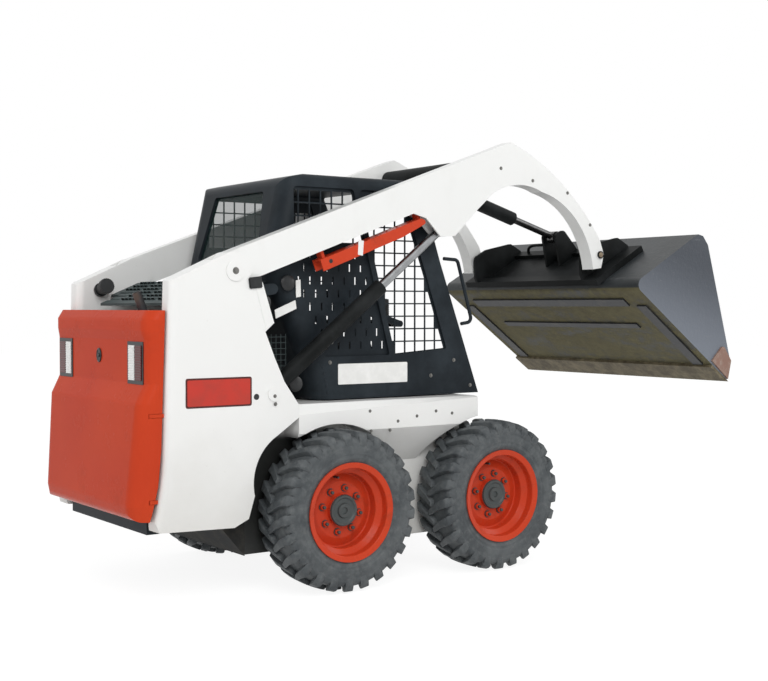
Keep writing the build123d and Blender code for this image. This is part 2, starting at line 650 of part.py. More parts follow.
def make_arm_support():
    """A channel hung under the right arm, open downwards."""
    side = sloped_table(ARM_PIVOT, ARM_ANGLE, [
        (448, -104, 0), (1070, -104, 20), (1104, -134, 12), (930, -155, 0), (448, -159, 0),
    ])
    channel = slab(outline(side), -ARM_MID - 36, -ARM_MID + 36)
    inside = sloped_table(ARM_PIVOT, ARM_ANGLE, [
        (430, -111, 0), (1130, -111, 0), (1130, -170, 0), (430, -170, 0),
    ])
    channel -= slab(outline(inside), -ARM_MID - 30, -ARM_MID + 30)
    for along in (470, 1060):
        hanger = sloped_table(ARM_PIVOT, ARM_ANGLE, [
            (along, -105, 0), (along + 16, -105, 0), (along + 16, -ARM_BELOW, 0), (along, -ARM_BELOW, 0),
        ])
        channel += slab(outline(hanger), -ARM_MID - 20, -ARM_MID + 20)
    return channel


# ---------------------------------------------------------------- cylinders
def round_bar(radius, start, length):
    """A round bar along X."""
    bar = Cylinder(radius, length, align=(Align.CENTER, Align.CENTER, Align.MIN))
    return Pos(start, 0, 0) * Rot(Y=90) * bar


def barrel(length, radius, bore, rod_r, eye_r, pin_r, eye_half):
    """Along +X from its base pin at the origin: eye, tube and gland."""
    neck = eye_r + CLEAR + 2
    closed = neck + CLEAR
    solid = disc((0, 0), eye_r, -eye_half, eye_half) + round_bar(eye_half, 0, neck + 1)
    solid += round_bar(radius, neck, length - neck)
    solid -= round_bar(bore, closed, length - closed - GLAND_T)
    solid -= round_bar(rod_r + RUN, closed, length)
    return solid - disc((0, 0), pin_r + RUN, -eye_half - 1, eye_half + 1)


def piston_rod(inner_end, length, bore, rod_r, eye_r, pin_r, eye_half):
    """Along +X: piston, rod and eye; length is from the barrel's base pin to the eye."""
    solid = round_bar(rod_r, inner_end, length - inner_end) + round_bar(bore - RUN, inner_end, PISTON_T)
    solid += disc((length, 0), eye_r, -eye_half, eye_half)
    return solid - disc((length, 0), pin_r + RUN, -eye_half - 1, eye_half + 1)


def between(base, tip):
    """Length and slope of a cylinder from its base pin to its rod pin."""
    dx, dz = tip[0] - base[0], tip[1] - base[1]
    return hypot(dx, dz), degrees(atan2(dz, dx))


LIFT_LENGTH, LIFT_SLOPE = between(LIFT_BASE, LIFT_PIN)


def place_lift(solid, side):
    return Pos(LIFT_BASE[0], side * ARM_MID, LIFT_BASE[1]) * Rot(Y=-LIFT_SLOPE) * solid


def on_attach(along, off):
    """An (X, Z) place on the quick-attach frame: along the bucket's back, and towards the bucket."""
    return from_pivot(BUCKET_PIN, BACK_ANGLE, along, -off)


def attach_table(rows):
    return [(*on_attach(along, off), radius) for along, off, radius in rows]


TILT_PIN = on_attach(TILT_PIN_ALONG, -TILT_PIN_BACK)
TILT_LENGTH, TILT_SLOPE = between(TILT_BASE, TILT_PIN)


def place_tilt(solid):
    return Pos(TILT_BASE[0], 0, TILT_BASE[1]) * Rot(Y=-TILT_SLOPE) * solid


# ---------------------------------------------------------------- quick-attach frame and bucket
def make_quick_attach():
    ear = outline(attach_table([
        (-96, 70, 10), (-96, BACK_GAP, 0), (300, BACK_GAP, 0), (300, BACK_GAP - 40, 0),
        (250, 20, 30), (60, -38, 30), (-40, -38, 34),
    ]))
    inner = ARM_OUT - ARM_W - CLEAR - 4
    solid = slab(ear, inner - 16, inner)
    solid += disc(BUCKET_PIN, BUCKET_PIN_R, inner - 4, ARM_OUT + 8)
    solid += slab(outline(attach_table([
        (-96, BACK_GAP - 34, 0), (-96, BACK_GAP, 0), (300, BACK_GAP, 0), (300, BACK_GAP - 34, 0),
    ])), 470, 560)
    solid += slab(outline(attach_table([
        (-96, BACK_GAP - 34, 0), (-96, BACK_GAP, 0), (-40, BACK_GAP, 0), (-40, BACK_GAP - 34, 0),
    ])), -1, 560)
    solid += slab(outline(attach_table([
        (240, BACK_GAP - 34, 0), (240, BACK_GAP, 0), (300, BACK_GAP, 0), (300, BACK_GAP - 34, 0),
    ])), -1, 560)
    solid += slab(outline(attach_table([
        (-60, BACK_GAP - 12, 0), (-60, BACK_GAP, 0), (260, BACK_GAP, 0), (260, BACK_GAP - 12, 0),
    ])), -1, 470)
    lug = slab(outline(attach_table([
        (120, BACK_GAP, 0), (300, BACK_GAP, 0), (250, -50, 30), (180, -60, 30),
    ])), 46, 62)
    return solid + lug + mirror(solid + lug, Plane.XZ)


BUCKET_SIDE = [  # along the back, off it, corner radius
    (-89, BACK_GAP, 40), (477, BACK_GAP, 20), (509, 162, 0), (521, 224, 0), (376, 872, 24), (299, 955, 0),
]
MOUTH_EDGES = (3, 4)


def make_bucket_shell():
    """A wrapper bent from floor to back to top lip, closed by two side plates."""
    solid = slab(outline(attach_table(BUCKET_SIDE)), -BUCKET_HALF, BUCKET_HALF)
    walls = [-100 if edge in MOUTH_EDGES else BUCKET_SHEET for edge in range(len(BUCKET_SIDE))]
    inside = outline(attach_table(inset(BUCKET_SIDE, walls)))
    return solid - slab(inside, -BUCKET_HALF + BUCKET_SHEET, BUCKET_HALF - BUCKET_SHEET)


def floor_table(rows):
    """Corner rows under the bucket's floor: from the lip back along the floor, and below it."""
    lip, heel = BUCKET_SIDE[-1], BUCKET_SIDE[0]
    span = hypot(heel[0] - lip[0], heel[1] - lip[1])
    du, dv = (heel[0] - lip[0]) / span, (heel[1] - lip[1]) / span
    return attach_table([
        (lip[0] + back * du + down * dv, lip[1] + back * dv - down * du, radius)
        for back, down, radius in rows
    ])


def make_cutting_edge():
    return slab(outline(floor_table([
        (-18, 0, 0), (150, 0, 0), (150, 18, 0), (14, 18, 0),
    ])), -BUCKET_HALF, BUCKET_HALF)


def floor_length():
    lip, heel = BUCKET_SIDE[-1], BUCKET_SIDE[0]
    return hypot(heel[0] - lip[0], heel[1] - lip[1])


def make_wear_plates():
    """Flat bars under the bucket's floor, and a plate on each lower side corner."""
    length = floor_length()
    plates = []
    for back, width, half in ((length - 190, 62, 640), (length - 400, 40, 560)):
        plates.append(slab(outline(floor_table([
            (back, 0, 0), (back + width, 0, 0), (back + width, 10, 0), (back, 10, 0),
        ])), -half, half))
    runner = slab(outline(floor_table([
        (160, 0, 0), (length - 190, 0, 0), (length - 190, 10, 0), (160, 10, 0),
    ])), 690, 760)
    along, off, _ = BUCKET_SIDE[-1]
    corner = slab(outline(attach_table([
        (along + 2, off - 4, 0), (along + 74, off - 80, 10), (along + 60, off - 190, 20),
        (along - 62, off - 160, 0),
    ])), BUCKET_HALF, BUCKET_HALF + 10)
    return Compound(plates + both_sides(runner) + both_sides(corner))


def make_fuel_cap():
    """Round cap on a neck that slopes up out of the left upright's inner face."""
    foot = (Align.CENTER, Align.CENTER, Align.MIN)
    neck = Pos(0, 0, -12) * Cylinder(FUEL_CAP_R - 8, FUEL_NECK + 12, align=foot)
    cap = Cylinder(FUEL_CAP_R, FUEL_CAP_T, align=foot)
    flange = Cylinder(FUEL_CAP_R - 2, 16, align=foot)
    filler = neck + flange + Pos(0, 0, FUEL_NECK) * cap
    filler = Pos(FUEL_CAP[0], REAR_HALF, FUEL_CAP[1]) * Rot(X=90 - FUEL_TILT) * filler
    return filler - block(-900, -600, REAR_HALF, REAR_HALF + 60, 1300, 1500)


# ---------------------------------------------------------------- the whole machine
def wheel_places():
    """Columns: name, X of the axle, side (+1 left, -1 right)."""
    return [
        ("rear_right", 0.0, -1), ("rear_left", 0.0, 1),
        ("front_right", WHEELBASE, -1), ("front_left", WHEELBASE, 1),
    ]


def build():
    nodes = {}
    tyre, rim = make_tyre(), make_rim()
    for name, axle_x, side in wheel_places():
        for kind, solid in (("tyre", tyre), ("rim", rim)):
            turned = solid if side > 0 else mirror(solid, Plane.XZ)
            nodes[f"{kind}_{name}"] = Pos(axle_x, 0, TYRE_R) * turned
    nodes["axle_housings"] = make_axles()
    nodes["main_frame"] = make_main_frame()
    nodes["engine_bay"] = make_engine_bay()
    upright = make_upright()
    nodes["upright_right"] = upright
    nodes["upright_left"] = mirror(upright, Plane.XZ)
    nodes["rear_bumper"] = make_bumper()
    nodes["engine_block"] = make_engine()
    nodes["exhaust_pipe"] = make_exhaust()
    nodes["rear_door"] = make_door()
    nodes["door_hinges"] = make_door_hinges()
    nodes["tail_lamps"] = make_tail_lamps()
    nodes["rear_grille"] = make_grille()
    nodes["engine_cowl"] = make_engine_cowl()
    nodes["cab_shell"] = make_cab_shell()
    screen = make_side_screen()
    nodes["side_screen_right"] = screen
    nodes["side_screen_left"] = mirror(screen, Plane.XZ)
    nodes["rear_screen"] = make_rear_screen()
    nodes["cab_floor"] = make_cab_floor()
    nodes["seat"] = make_seat()
    nodes["control_levers"] = make_levers()
    nodes["seat_bar"] = make_seat_bar()
    nodes["grab_handles"] = make_handles()
    arm = make_arm()
    nodes["lift_arm_right"] = arm
    nodes["lift_arm_left"] = mirror(arm, Plane.XZ)
    nodes["arm_crossmember"] = make_crossmember()
    nodes["lift_arm_support"] = make_arm_support()
    lift_tube = barrel(LIFT_BARREL, 38, 32, 22, 36, 20, 25)
    lift_rod = piston_rod(LIFT_PISTON, LIFT_LENGTH, 32, 22, 38, 20, 25)
    for name, side in (("right", -1), ("left", 1)):
        nodes[f"lift_barrel_{name}"] = place_lift(lift_tube, side)
        nodes[f"lift_rod_{name}"] = place_lift(lift_rod, side)
    nodes["tilt_barrel"] = place_tilt(barrel(TILT_BARREL, 38, 32, 20, 36, 16, 25))
    nodes["tilt_rod"] = place_tilt(piston_rod(TILT_PISTON, TILT_LENGTH, 32, 20, 34, 16, 25))
    nodes["quick_attach"] = make_quick_attach()
    nodes["bucket_shell"] = make_bucket_shell()
    nodes["cutting_edge"] = make_cutting_edge()
    nodes["wear_plates"] = make_wear_plates()
    nodes["fuel_cap"] = make_fuel_cap()
    return nodes


os.makedirs("parts", exist_ok=True)
for name, solid in build().items():
    export_step(Pos(-ORIGIN_X, 0, 0) * solid, f"parts/{name}.step")
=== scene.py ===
import math

import bmesh
import bpy
from mathutils import Matrix, Vector


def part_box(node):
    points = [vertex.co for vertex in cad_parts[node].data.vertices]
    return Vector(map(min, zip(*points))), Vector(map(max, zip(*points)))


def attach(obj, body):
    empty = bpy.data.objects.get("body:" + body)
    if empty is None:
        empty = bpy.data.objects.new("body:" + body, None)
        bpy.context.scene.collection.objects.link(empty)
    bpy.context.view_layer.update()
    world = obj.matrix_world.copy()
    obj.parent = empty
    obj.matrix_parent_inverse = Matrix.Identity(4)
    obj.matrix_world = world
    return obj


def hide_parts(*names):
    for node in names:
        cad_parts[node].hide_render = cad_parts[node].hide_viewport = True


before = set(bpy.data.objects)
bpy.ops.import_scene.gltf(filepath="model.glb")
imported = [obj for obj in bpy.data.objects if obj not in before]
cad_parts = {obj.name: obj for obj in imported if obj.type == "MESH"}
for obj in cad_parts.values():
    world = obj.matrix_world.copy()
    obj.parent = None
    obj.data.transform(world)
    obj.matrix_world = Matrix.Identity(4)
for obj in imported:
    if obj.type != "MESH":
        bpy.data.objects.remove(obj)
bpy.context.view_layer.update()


# ---------------------------------------------------------------- camera
# Someone stands off the machine's right rear corner, with the eye a little below the cab's roof.
eye = bpy.data.cameras.new("eye")
eye.sensor_width = 36.0
eye.lens = 60.88
camera = bpy.data.objects.new("eye", eye)
camera.location = (-4.0496, -5.6107, 1.3199)
camera.rotation_euler = (math.radians(90 - 1.516), 0, math.radians(-35.40))
bpy.context.scene.collection.objects.link(camera)
bpy.context.scene.camera = camera
bpy.context.scene.view_settings.view_transform = "Standard"


# ---------------------------------------------------------------- floor and light
# A pale studio floor that runs out of sight, a broad soft key over the viewer's right shoulder,
# and a dim fill from the other side.
class Field:
    """One output of a node. Arithmetic on it adds Math nodes to the same tree."""

    def __init__(self, nodes, socket):
        self.nodes = nodes
        self.socket = socket

    def math(self, operation, *values):
        return self.nodes.add("ShaderNodeMath", {"operation": operation}, dict(enumerate(values)))

    def __add__(self, other):
        return self.math("ADD", self, other)

    __radd__ = __add__

    def __rsub__(self, other):
        return self.math("SUBTRACT", other, self)

    def __mul__(self, other):
        return self.math("MULTIPLY", self, other)

    __rmul__ = __mul__

    def __truediv__(self, other):
        return self.math("DIVIDE", self, other)


class Nodes:
    """A node tree. add() makes a node from its type, its settings and its sockets' values."""

    def __init__(self, tree):
        self.tree = tree

    def add(self, kind, settings=None, inputs=None, output=0):
        node = self.tree.nodes.new(kind)
        for name, value in (settings or {}).items():
            setattr(node, name, value)
        for name, value in (inputs or {}).items():
            self.feed(node.inputs[name], value)
        return Field(self, node.outputs[output])

    def feed(self, socket, value):
        if isinstance(value, Field):
            self.tree.links.new(value.socket, socket)
        else:
            socket.default_value = value


class Paint(Nodes):
    """A material with a Principled shader."""

    def __init__(self, name):
        self.material = bpy.data.materials.new(name)
        self.material.use_nodes = True
        super().__init__(self.material.node_tree)
        self.shader = self.tree.nodes["Principled BSDF"]
        self.place = self.add("ShaderNodeTexCoord", output="Object")

    def set(self, **values):
        for name, value in values.items():
            self.feed(self.shader.inputs[name.replace("_", " ")], value)

    def noise(self, scale, detail=4.0, roughness=0.6, stretch=(1, 1, 1)):
        place = self.add("ShaderNodeMapping", inputs={"Vector": self.place, "Scale": stretch})
        sizes = {"Vector": place, "Scale": scale, "Detail": detail, "Roughness": roughness}
        return self.add("ShaderNodeTexNoise", inputs=sizes)

    def step(self, value, low, high):
        """0 where value is below low, 1 above high, smooth between."""
        sizes = {"Value": value, "From Min": low, "From Max": high}
        return self.add("ShaderNodeMapRange", {"interpolation_type": "SMOOTHSTEP"}, sizes)

    def mix(self, factor, below, above):
        """A colour, from below at factor 0 to above at factor 1."""
        sizes = {"Factor": factor}
        sizes[6] = (*below, 1) if isinstance(below, tuple) else below
        sizes[7] = (*above, 1) if isinstance(above, tuple) else above
        return self.add("ShaderNodeMix", {"data_type": "RGBA"}, sizes, output=2)

    def facing(self, axis):
        """The surface's normal along an axis, in the object's own frame."""
        normal = self.add("ShaderNodeNewGeometry", output="Normal")
        return self.add("ShaderNodeSeparateXYZ", inputs={0: normal}, output=axis)

    def along(self, axis):
        """The place along an axis, in the object's own frame."""
        return self.add("ShaderNodeSeparateXYZ", inputs={0: self.place}, output=axis)

    def bump(self, height, strength, distance):
        sizes = {"Height": height, "Strength": strength, "Distance": distance}
        return self.add("ShaderNodeBump", inputs=sizes)


ground = bpy.data.meshes.new("ground")
ground.from_pydata([(-30, -30, 0), (30, -30, 0), (30, 30, 0), (-30, 30, 0)], [], [(0, 1, 2, 3)])
floor = bpy.data.objects.new("ground", ground)
bpy.context.scene.collection.objects.link(floor)


def backdrop_rays(nodes):
    """1 for the rays that should see a white backdrop, 0 for the ones that light the machine."""
    names = ("Is Camera Ray", "Is Transmission Ray", "Is Glossy Ray")
    first, second, third = [nodes.add("ShaderNodeLightPath", output=name) for name in names]
    return first.math("MAXIMUM", first.math("MAXIMUM", first, second), third)


studio = Paint("studio_floor")
studio.set(Base_Color=(0.86, 0.86, 0.86, 1), Roughness=0.9, Specular_IOR_Level=0.0)
glow = studio.add("ShaderNodeEmission", inputs={"Color": (1, 1, 1, 1), "Strength": 1.24})
matt = Field(studio, studio.shader.outputs[0])
lit = studio.add("ShaderNodeMixShader", inputs={0: backdrop_rays(studio) * 0.72, 1: matt, 2: glow})
studio.feed(studio.tree.nodes["Material Output"].inputs["Surface"], lit)
ground.materials.append(studio.material)

sky = bpy.data.worlds.new("studio")
sky.use_nodes = True
bpy.context.scene.world = sky
air = Nodes(sky.node_tree)
back = sky.node_tree.nodes["Background"]
air.feed(back.inputs["Color"], (1, 1, 1, 1))
air.feed(back.inputs["Strength"], backdrop_rays(air) * 0.50 + 0.50)

LIGHTS = [  # name, place, aimed at, size across, watts
    ("key", (-3.5, -6.5, 5.5), (0, 0, 1.0), 5.0, 330),
    ("fill", (-7.0, 1.5, 3.5), (0, 0, 1.0), 4.0, 60),
    ("front", (6.0, -4.0, 4.0), (0.5, 0, 1.2), 4.0, 90),
]
for name, place, target, across, watts in LIGHTS:
    lamp = bpy.data.lights.new(name, "AREA")
    lamp.shape = "DISK"
    lamp.size = across
    lamp.energy = watts
    holder = bpy.data.objects.new(name, lamp)
    holder.location = place
    holder.rotation_euler = (Vector(target) - Vector(place)).to_track_quat("-Z", "Y").to_euler()
    bpy.context.scene.collection.objects.link(holder)


# ---------------------------------------------------------------- chassis
# A tub and two chaincases welded from plate in white enamel, grey with dust low down, with black
# painted shade inside the rear wheel arches and on low faces that look down. The tray behind is
# black underseal, partly painted shade under the machine, and carries the oily cast engine.
def dress(paint, *nodes):
    """Gives CAD nodes a paint."""
    for node in nodes:
        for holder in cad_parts[node].material_slots:
            holder.material = paint.material


white = Paint("white_enamel")
height = white.along("Z")
dust = white.step(white.noise(3.0, 6.0) * 0.5 + height * -0.9, -0.55, 0.1) * 0.4
speck = white.step(white.noise(60.0, 2.0), 0.66, 0.78) * 0.12
clean = white.mix(white.noise(1.4, 3.0), (0.80, 0.805, 0.79), (0.86, 0.86, 0.845))
dusted = white.mix(dust + speck, clean, (0.50, 0.48, 0.43))
# Painted shade: inboard faces round the rear wheel arches turn black low down, and so do low faces that look
# down, where the belly lies in shade.
across = white.along("Y")
inside = 1 - white.step(across.math("ABSOLUTE", across), 0.5545, 0.5555)
lengthways = white.along("X")
behind = white.step(lengthways, -1.58, -1.56) * (1 - white.step(lengthways, -0.80, -0.66))
arch_and_belly_shade = inside * behind * (1 - white.step(height, 0.70, 0.76))
belly_shade = white.step(white.facing("Z") * -1, 0.75, 0.9) * (1 - white.step(height, 0.5, 0.6))
arch_and_belly_shade = arch_and_belly_shade.math("MAXIMUM", arch_and_belly_shade, belly_shade)
white.set(Base_Color=white.mix(arch_and_belly_shade, dusted, (0.018, 0.019, 0.018)))
white.set(Roughness=dust * 0.4 + 0.30, Coat_Weight=0.2, Coat_Roughness=0.15)
white.set(Normal=white.bump(white.noise(26.0, 2.0), 0.06, 0.002))
dress(white, "main_frame", "upright_right", "upright_left")

# Black underseal with caked dirt; on the engine tray its black is partly painted shade under the machine.
underseal = Paint("underseal")
caked_on = underseal.step(underseal.noise(9.0, 6.0), 0.4, 0.75)
underseal.set(Base_Color=underseal.mix(caked_on, (0.016, 0.017, 0.017), (0.045, 0.042, 0.036)))
underseal.set(Roughness=0.8, Specular_IOR_Level=0.25)
underseal.set(Normal=underseal.bump(underseal.noise(40.0, 5.0), 0.4, 0.003))
dress(underseal, "engine_bay")

iron = Paint("oily_iron")
oil = iron.step(iron.noise(9.0, 8.0), 0.4, 0.7)
iron.set(Base_Color=iron.mix(oil, (0.07, 0.068, 0.064), (0.022, 0.020, 0.018)))
iron.set(Roughness=0.62 - oil * 0.3, Metallic=0.5)
iron.set(Normal=iron.bump(iron.noise(60.0, 4.0), 0.3, 0.002))
dress(iron, "engine_block", "axle_housings")

AXLE_X = sum(corner.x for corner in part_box("rim_rear_right")) / 2
SIDES = (("right", -1), ("left", 1))


def new_piece(name, mesh, paint=None):
    """An object at the origin with this mesh."""
    if paint:
        mesh.materials.clear()
        mesh.materials.append(paint.material)
    piece = bpy.data.objects.new(name, mesh)
    bpy.context.scene.collection.objects.link(piece)
    return piece


def discard(*pieces):
    """Removes pieces that were only drawn to be copied from."""
    for piece in pieces:
        bpy.data.objects.remove(piece)


def settle(piece):
    """Turns a piece's modifiers into plain mesh."""
    ready = piece.evaluated_get(bpy.context.evaluated_depsgraph_get())
    mesh = bpy.data.meshes.new_from_object(ready)
    piece.modifiers.clear()
    piece.data = mesh
    return piece


def smooth(mesh, degrees=35):
    """Shades a mesh smooth, apart from its edges above an angle."""
    mesh.shade_smooth()
    mesh.set_sharp_from_angle(angle=math.radians(degrees))
    return mesh


def to_mesh(form, name):
    """Ends a drawing as a mesh."""
    mesh = bpy.data.meshes.new(name)
    form.to_mesh(mesh)
    form.free()
    return mesh


def fit(piece, body):
    """Fixes a finished piece to a body."""
    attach(piece, body)
    return piece


def new_tree(name, inputs):
    """A Geometry Nodes tree with named inputs; gives the tree, its fields and a way to set them."""
    tree = bpy.data.node_groups.new(name, "GeometryNodeTree")
    tree.interface.new_socket("Geometry", in_out="OUTPUT", socket_type="NodeSocketGeometry")
    keys = {}
    for label, kind in inputs.items():
        socket = tree.interface.new_socket(label, in_out="INPUT", socket_type="NodeSocket" + kind)
        keys[label] = socket.identifier
    nodes = Nodes(tree)
    entry = tree.nodes.new("NodeGroupInput")
    fields = {label: Field(nodes, entry.outputs[label]) for label in inputs}
    return nodes, fields, keys


def close_tree(nodes, geometry, material):
    """Ends a tree in real geometry with its material."""
    real = nodes.add("GeometryNodeRealizeInstances", inputs={0: geometry})
    done = nodes.add("GeometryNodeSetMaterial", inputs={"Geometry": real, "Material": material})
    exit_node = nodes.tree.nodes.new("NodeGroupOutput")
    nodes.feed(exit_node.inputs[0], done)


def grow(piece, nodes, keys, values):
    """Runs a tree on a piece and leaves plain mesh."""
    modifier = piece.modifiers.new("form", "NODES")
    modifier.node_group = nodes.tree
    for label, value in values.items():
        modifier[keys[label]] = value
    piece.update_tag()
    return settle(piece)


# Bolt heads on washers, one on each point of the piece's mesh, turned to face one way.
bolt, bolt_in, bolt_keys = new_tree("bolts_on_points", {
    "Geometry": "Geometry", "Turn": "Vector", "Head radius": "Float", "Head height": "Float",
    "Sides": "Int", "Washer radius": "Float", "Material": "Material",
})
head = bolt.add("GeometryNodeMeshCone", inputs={
    "Vertices": bolt_in["Sides"], "Radius Top": bolt_in["Head radius"] * 0.82,
    "Radius Bottom": bolt_in["Head radius"], "Depth": bolt_in["Head height"],
})
washer = bolt.add("GeometryNodeMeshCone", inputs={
    "Vertices": 20, "Radius Top": bolt_in["Washer radius"] * 0.93, "Radius Bottom": bolt_in["Washer radius"],
    "Depth": bolt_in["Head height"] * 0.3,
})
both = bolt.tree.nodes.new("GeometryNodeJoinGeometry")
for part in (head, washer):
    bolt.tree.links.new(part.socket, both.inputs[0])
on_points = bolt.add("GeometryNodeInstanceOnPoints", inputs={
    "Points": bolt_in["Geometry"], "Instance": Field(bolt, both.outputs[0]), "Rotation": bolt_in["Turn"],
})
close_tree(bolt, on_points, bolt_in["Material"])

TO_THE_RIGHT = (math.pi / 2, 0, 0)
TO_THE_LEFT = (-math.pi / 2, 0, 0)


def bolts(name, places, turn, radius, tall, paint, sides=6, washer_share=1.45):
    """Bolt heads at places measured from under the rear axle."""
    mesh = bpy.data.meshes.new(name)
    mesh.from_pydata([(x + AXLE_X, y, z) for x, y, z in places], [], [])
    piece = new_piece(name, mesh)
    return grow(piece, bolt, bolt_keys, {
        "Turn": turn, "Head radius": radius, "Head height": tall, "Sides": sides,
        "Washer radius": radius * washer_share, "Material": paint.material,
    })


def on_both_sides(name, places, y, radius, tall, paint, body, sides=6):
    """Bolt heads on the right face at -y and the same on the left."""
    right = bolts(name + "_right", [(x, -y, z) for x, z in places], TO_THE_RIGHT, radius, tall, paint, sides)
    left = bolts(name + "_left", [(x, y, z) for x, z in places], TO_THE_LEFT, radius, tall, paint, sides)
    return [fit(piece, body) for piece in (right, left)]


bolt_zinc = Paint("dull_zinc")
tarnish = bolt_zinc.noise(40.0, 3.0)
bolt_zinc.set(Base_Color=bolt_zinc.mix(tarnish, (0.10, 0.10, 0.095), (0.24, 0.235, 0.22)))
bolt_zinc.set(Metallic=0.6, Roughness=tarnish * 0.2 + 0.40)

FENDER_SIDE = 0.565
FENDER_BOLTS = [  # X from under the rear axle, and Z
    (0.189, 0.823), (0.306, 0.726), (0.195, 0.728), (0.353, 0.767), (0.467, 0.786), (0.584, 0.805),
    (0.684, 0.790),
]
on_both_sides("fender_bolts", FENDER_BOLTS, FENDER_SIDE, 0.0055, 0.005, bolt_zinc, "chassis")


# ---------------------------------------------------------------- tyres
# Wide cross-ply tyres with deep bar lugs that meet in a chevron along the middle. The lugs are
# moulded with the carcass and run a little way down a smooth side wall with fine moulded rings.
rubber = Paint("tyre_rubber")
dusty = rubber.step(rubber.noise(8.0, 8.0, 0.7), 0.3, 0.75)
worn_top = rubber.step(rubber.noise(35.0, 4.0), 0.45, 0.7) * 0.35
bare_rubber = rubber.mix(dusty, (0.040, 0.047, 0.052), (0.100, 0.110, 0.114))
rubber.set(Base_Color=rubber.mix(worn_top, bare_rubber, (0.15, 0.16, 0.16)))
rubber.set(Roughness=0.62, Specular_IOR_Level=0.45)
rubber.set(Normal=rubber.bump(rubber.noise(120.0, 4.0), 0.2, 0.001))

TYRE_LOW, TYRE_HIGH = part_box("tyre_rear_right")
TYRE_R = (TYRE_HIGH.z - TYRE_LOW.z) / 2
TYRE_HALF = (TYRE_HIGH.y - TYRE_LOW.y) / 2
LUG_HEIGHT = 0.024
LUG_SINK = 0.012                            # how far a lug's foot reaches into the carcass
LUG_FLARE = 1.35                            # how much wider the foot is than the top
LUGS = 25                                   # on each half of the tread


def turned(name, profile, segments=96):
    """A solid of revolution about Y; profile is a closed loop of (y, radius)."""
    form = bmesh.new()
    rings = []
    for y, radius in profile:
        angles = [2 * math.pi * k / segments for k in range(segments)]
        rings.append([form.verts.new((radius * math.sin(a), y, radius * math.cos(a))) for a in angles])
    for first, second in zip(rings, rings[1:] + rings[:1]):
        for k in range(segments):
            after = (k + 1) % segments
            form.faces.new((first[k], first[after], second[after], second[k]))
    bmesh.ops.remove_doubles(form, verts=form.verts, dist=1e-6)
    bmesh.ops.recalc_face_normals(form, faces=form.faces)
    return smooth(to_mesh(form, name))


def carcass_radius(y):
    """The tread surface between the lugs, crowned across the width."""
    return TYRE_R - LUG_HEIGHT - 0.012 * (y / TYRE_HALF) ** 2


def carcass_profile():
    """The carcass in section, from bead to bead over the crown."""
    half = TYRE_HALF
    bead = 0.209
    crown = [(half * 0.86 * k / 6, carcass_radius(half * 0.86 * k / 6)) for k in range(-6, 7)]
    wall = [  # share of the half width, radius
        (0.95, 0.332), (0.968, 0.322), (0.985, 0.318), (0.985, 0.315), (0.978, 0.312), (0.992, 0.300),
        (0.998, 0.288), (0.990, 0.272), (0.990, 0.270), (0.980, 0.268), (0.965, 0.256), (0.972, 0.254),
        (0.968, 0.250), (0.945, 0.243), (0.925, 0.238), (0.915, 0.232), (0.885, 0.226), (0.86, bead),
    ]
    outer = [(half * share, radius) for share, radius in wall]
    inner = [(-y, radius) for y, radius in reversed(outer)]
    return inner + crown + outer


def skin(form, sections):
    """Faces between sections of as many points each, and over both ends."""
    corners = len(sections[0])
    for first, second in zip(sections, sections[1:]):
        for k in range(corners):
            after = (k + 1) % corners
            form.faces.new((first[k], first[after], second[after], second[k]))
    form.faces.new(sections[0])
    form.faces.new(list(reversed(sections[-1])))


def lug_mesh():
    """One bar lug, from the middle of the tread over the shoulder and down the side wall."""
    shoulder = 0.95
    stations = [  # share of the half width, radius of its top, height, lead angle, half width of the bar
        (-0.10, TYRE_R, LUG_HEIGHT, 0.00, 0.013),
        (0.12, TYRE_R, LUG_HEIGHT, 0.045, 0.016),
        (0.42, TYRE_R - 0.001, LUG_HEIGHT, 0.105, 0.018),
        (0.72, TYRE_R - 0.004, LUG_HEIGHT, 0.150, 0.021),
        (0.93, TYRE_R - 0.012, LUG_HEIGHT, 0.172, 0.024),
        (1.0, TYRE_R - 0.038, 0.020, 0.180, 0.022),
        (1.0, TYRE_R - 0.068, 0.010, 0.184, 0.017),
    ]
    form = bmesh.new()
    sections = []
    for share, radius, height, lead, bar in stations:
        y = share * TYRE_HALF
        top = (y, radius)
        if share < shoulder:
            foot = (y, radius - height - LUG_SINK)
        else:
            foot = (y - height - LUG_SINK, radius - LUG_SINK)
        section = []
        for side, (y, r), wider in ((-1, foot, LUG_FLARE), (-1, top, 1), (1, top, 1), (1, foot, LUG_FLARE)):
            angle = lead + side * wider * bar / TYRE_R
            section.append(form.verts.new((r * math.sin(angle), y, r * math.cos(angle))))
        sections.append(section)
    skin(form, sections)
    bmesh.ops.recalc_face_normals(form, faces=form.faces)
    bmesh.ops.bevel(form, geom=form.edges[:], offset=0.0025, segments=1, affect="EDGES")
    return to_mesh(form, "lug")


ring, ring_in, ring_keys = new_tree(
    "pieces_round_an_axle",
    {"Geometry": "Geometry", "Count": "Int", "First turn": "Float", "Material": "Material"},
)
spots = ring.add("GeometryNodeMeshLine", {"mode": "OFFSET"}, {"Count": ring_in["Count"], "Offset": (0, 0, 0)})
number = ring.add("GeometryNodeInputIndex")
turn = number / ring_in["Count"] * (2 * math.pi) + ring_in["First turn"]
turned_to = ring.add("ShaderNodeCombineXYZ", inputs={"Y": turn})
copies = ring.add(
    "GeometryNodeInstanceOnPoints",
    inputs={"Points": spots, "Instance": ring_in["Geometry"], "Rotation": turned_to},
)
close_tree(ring, copies, ring_in["Material"])


def joined(name, meshes, paint):
    """Several meshes as one piece."""
    form = bmesh.new()
    for mesh in meshes:
        form.from_mesh(mesh)
    return new_piece(name, to_mesh(form, name), paint)


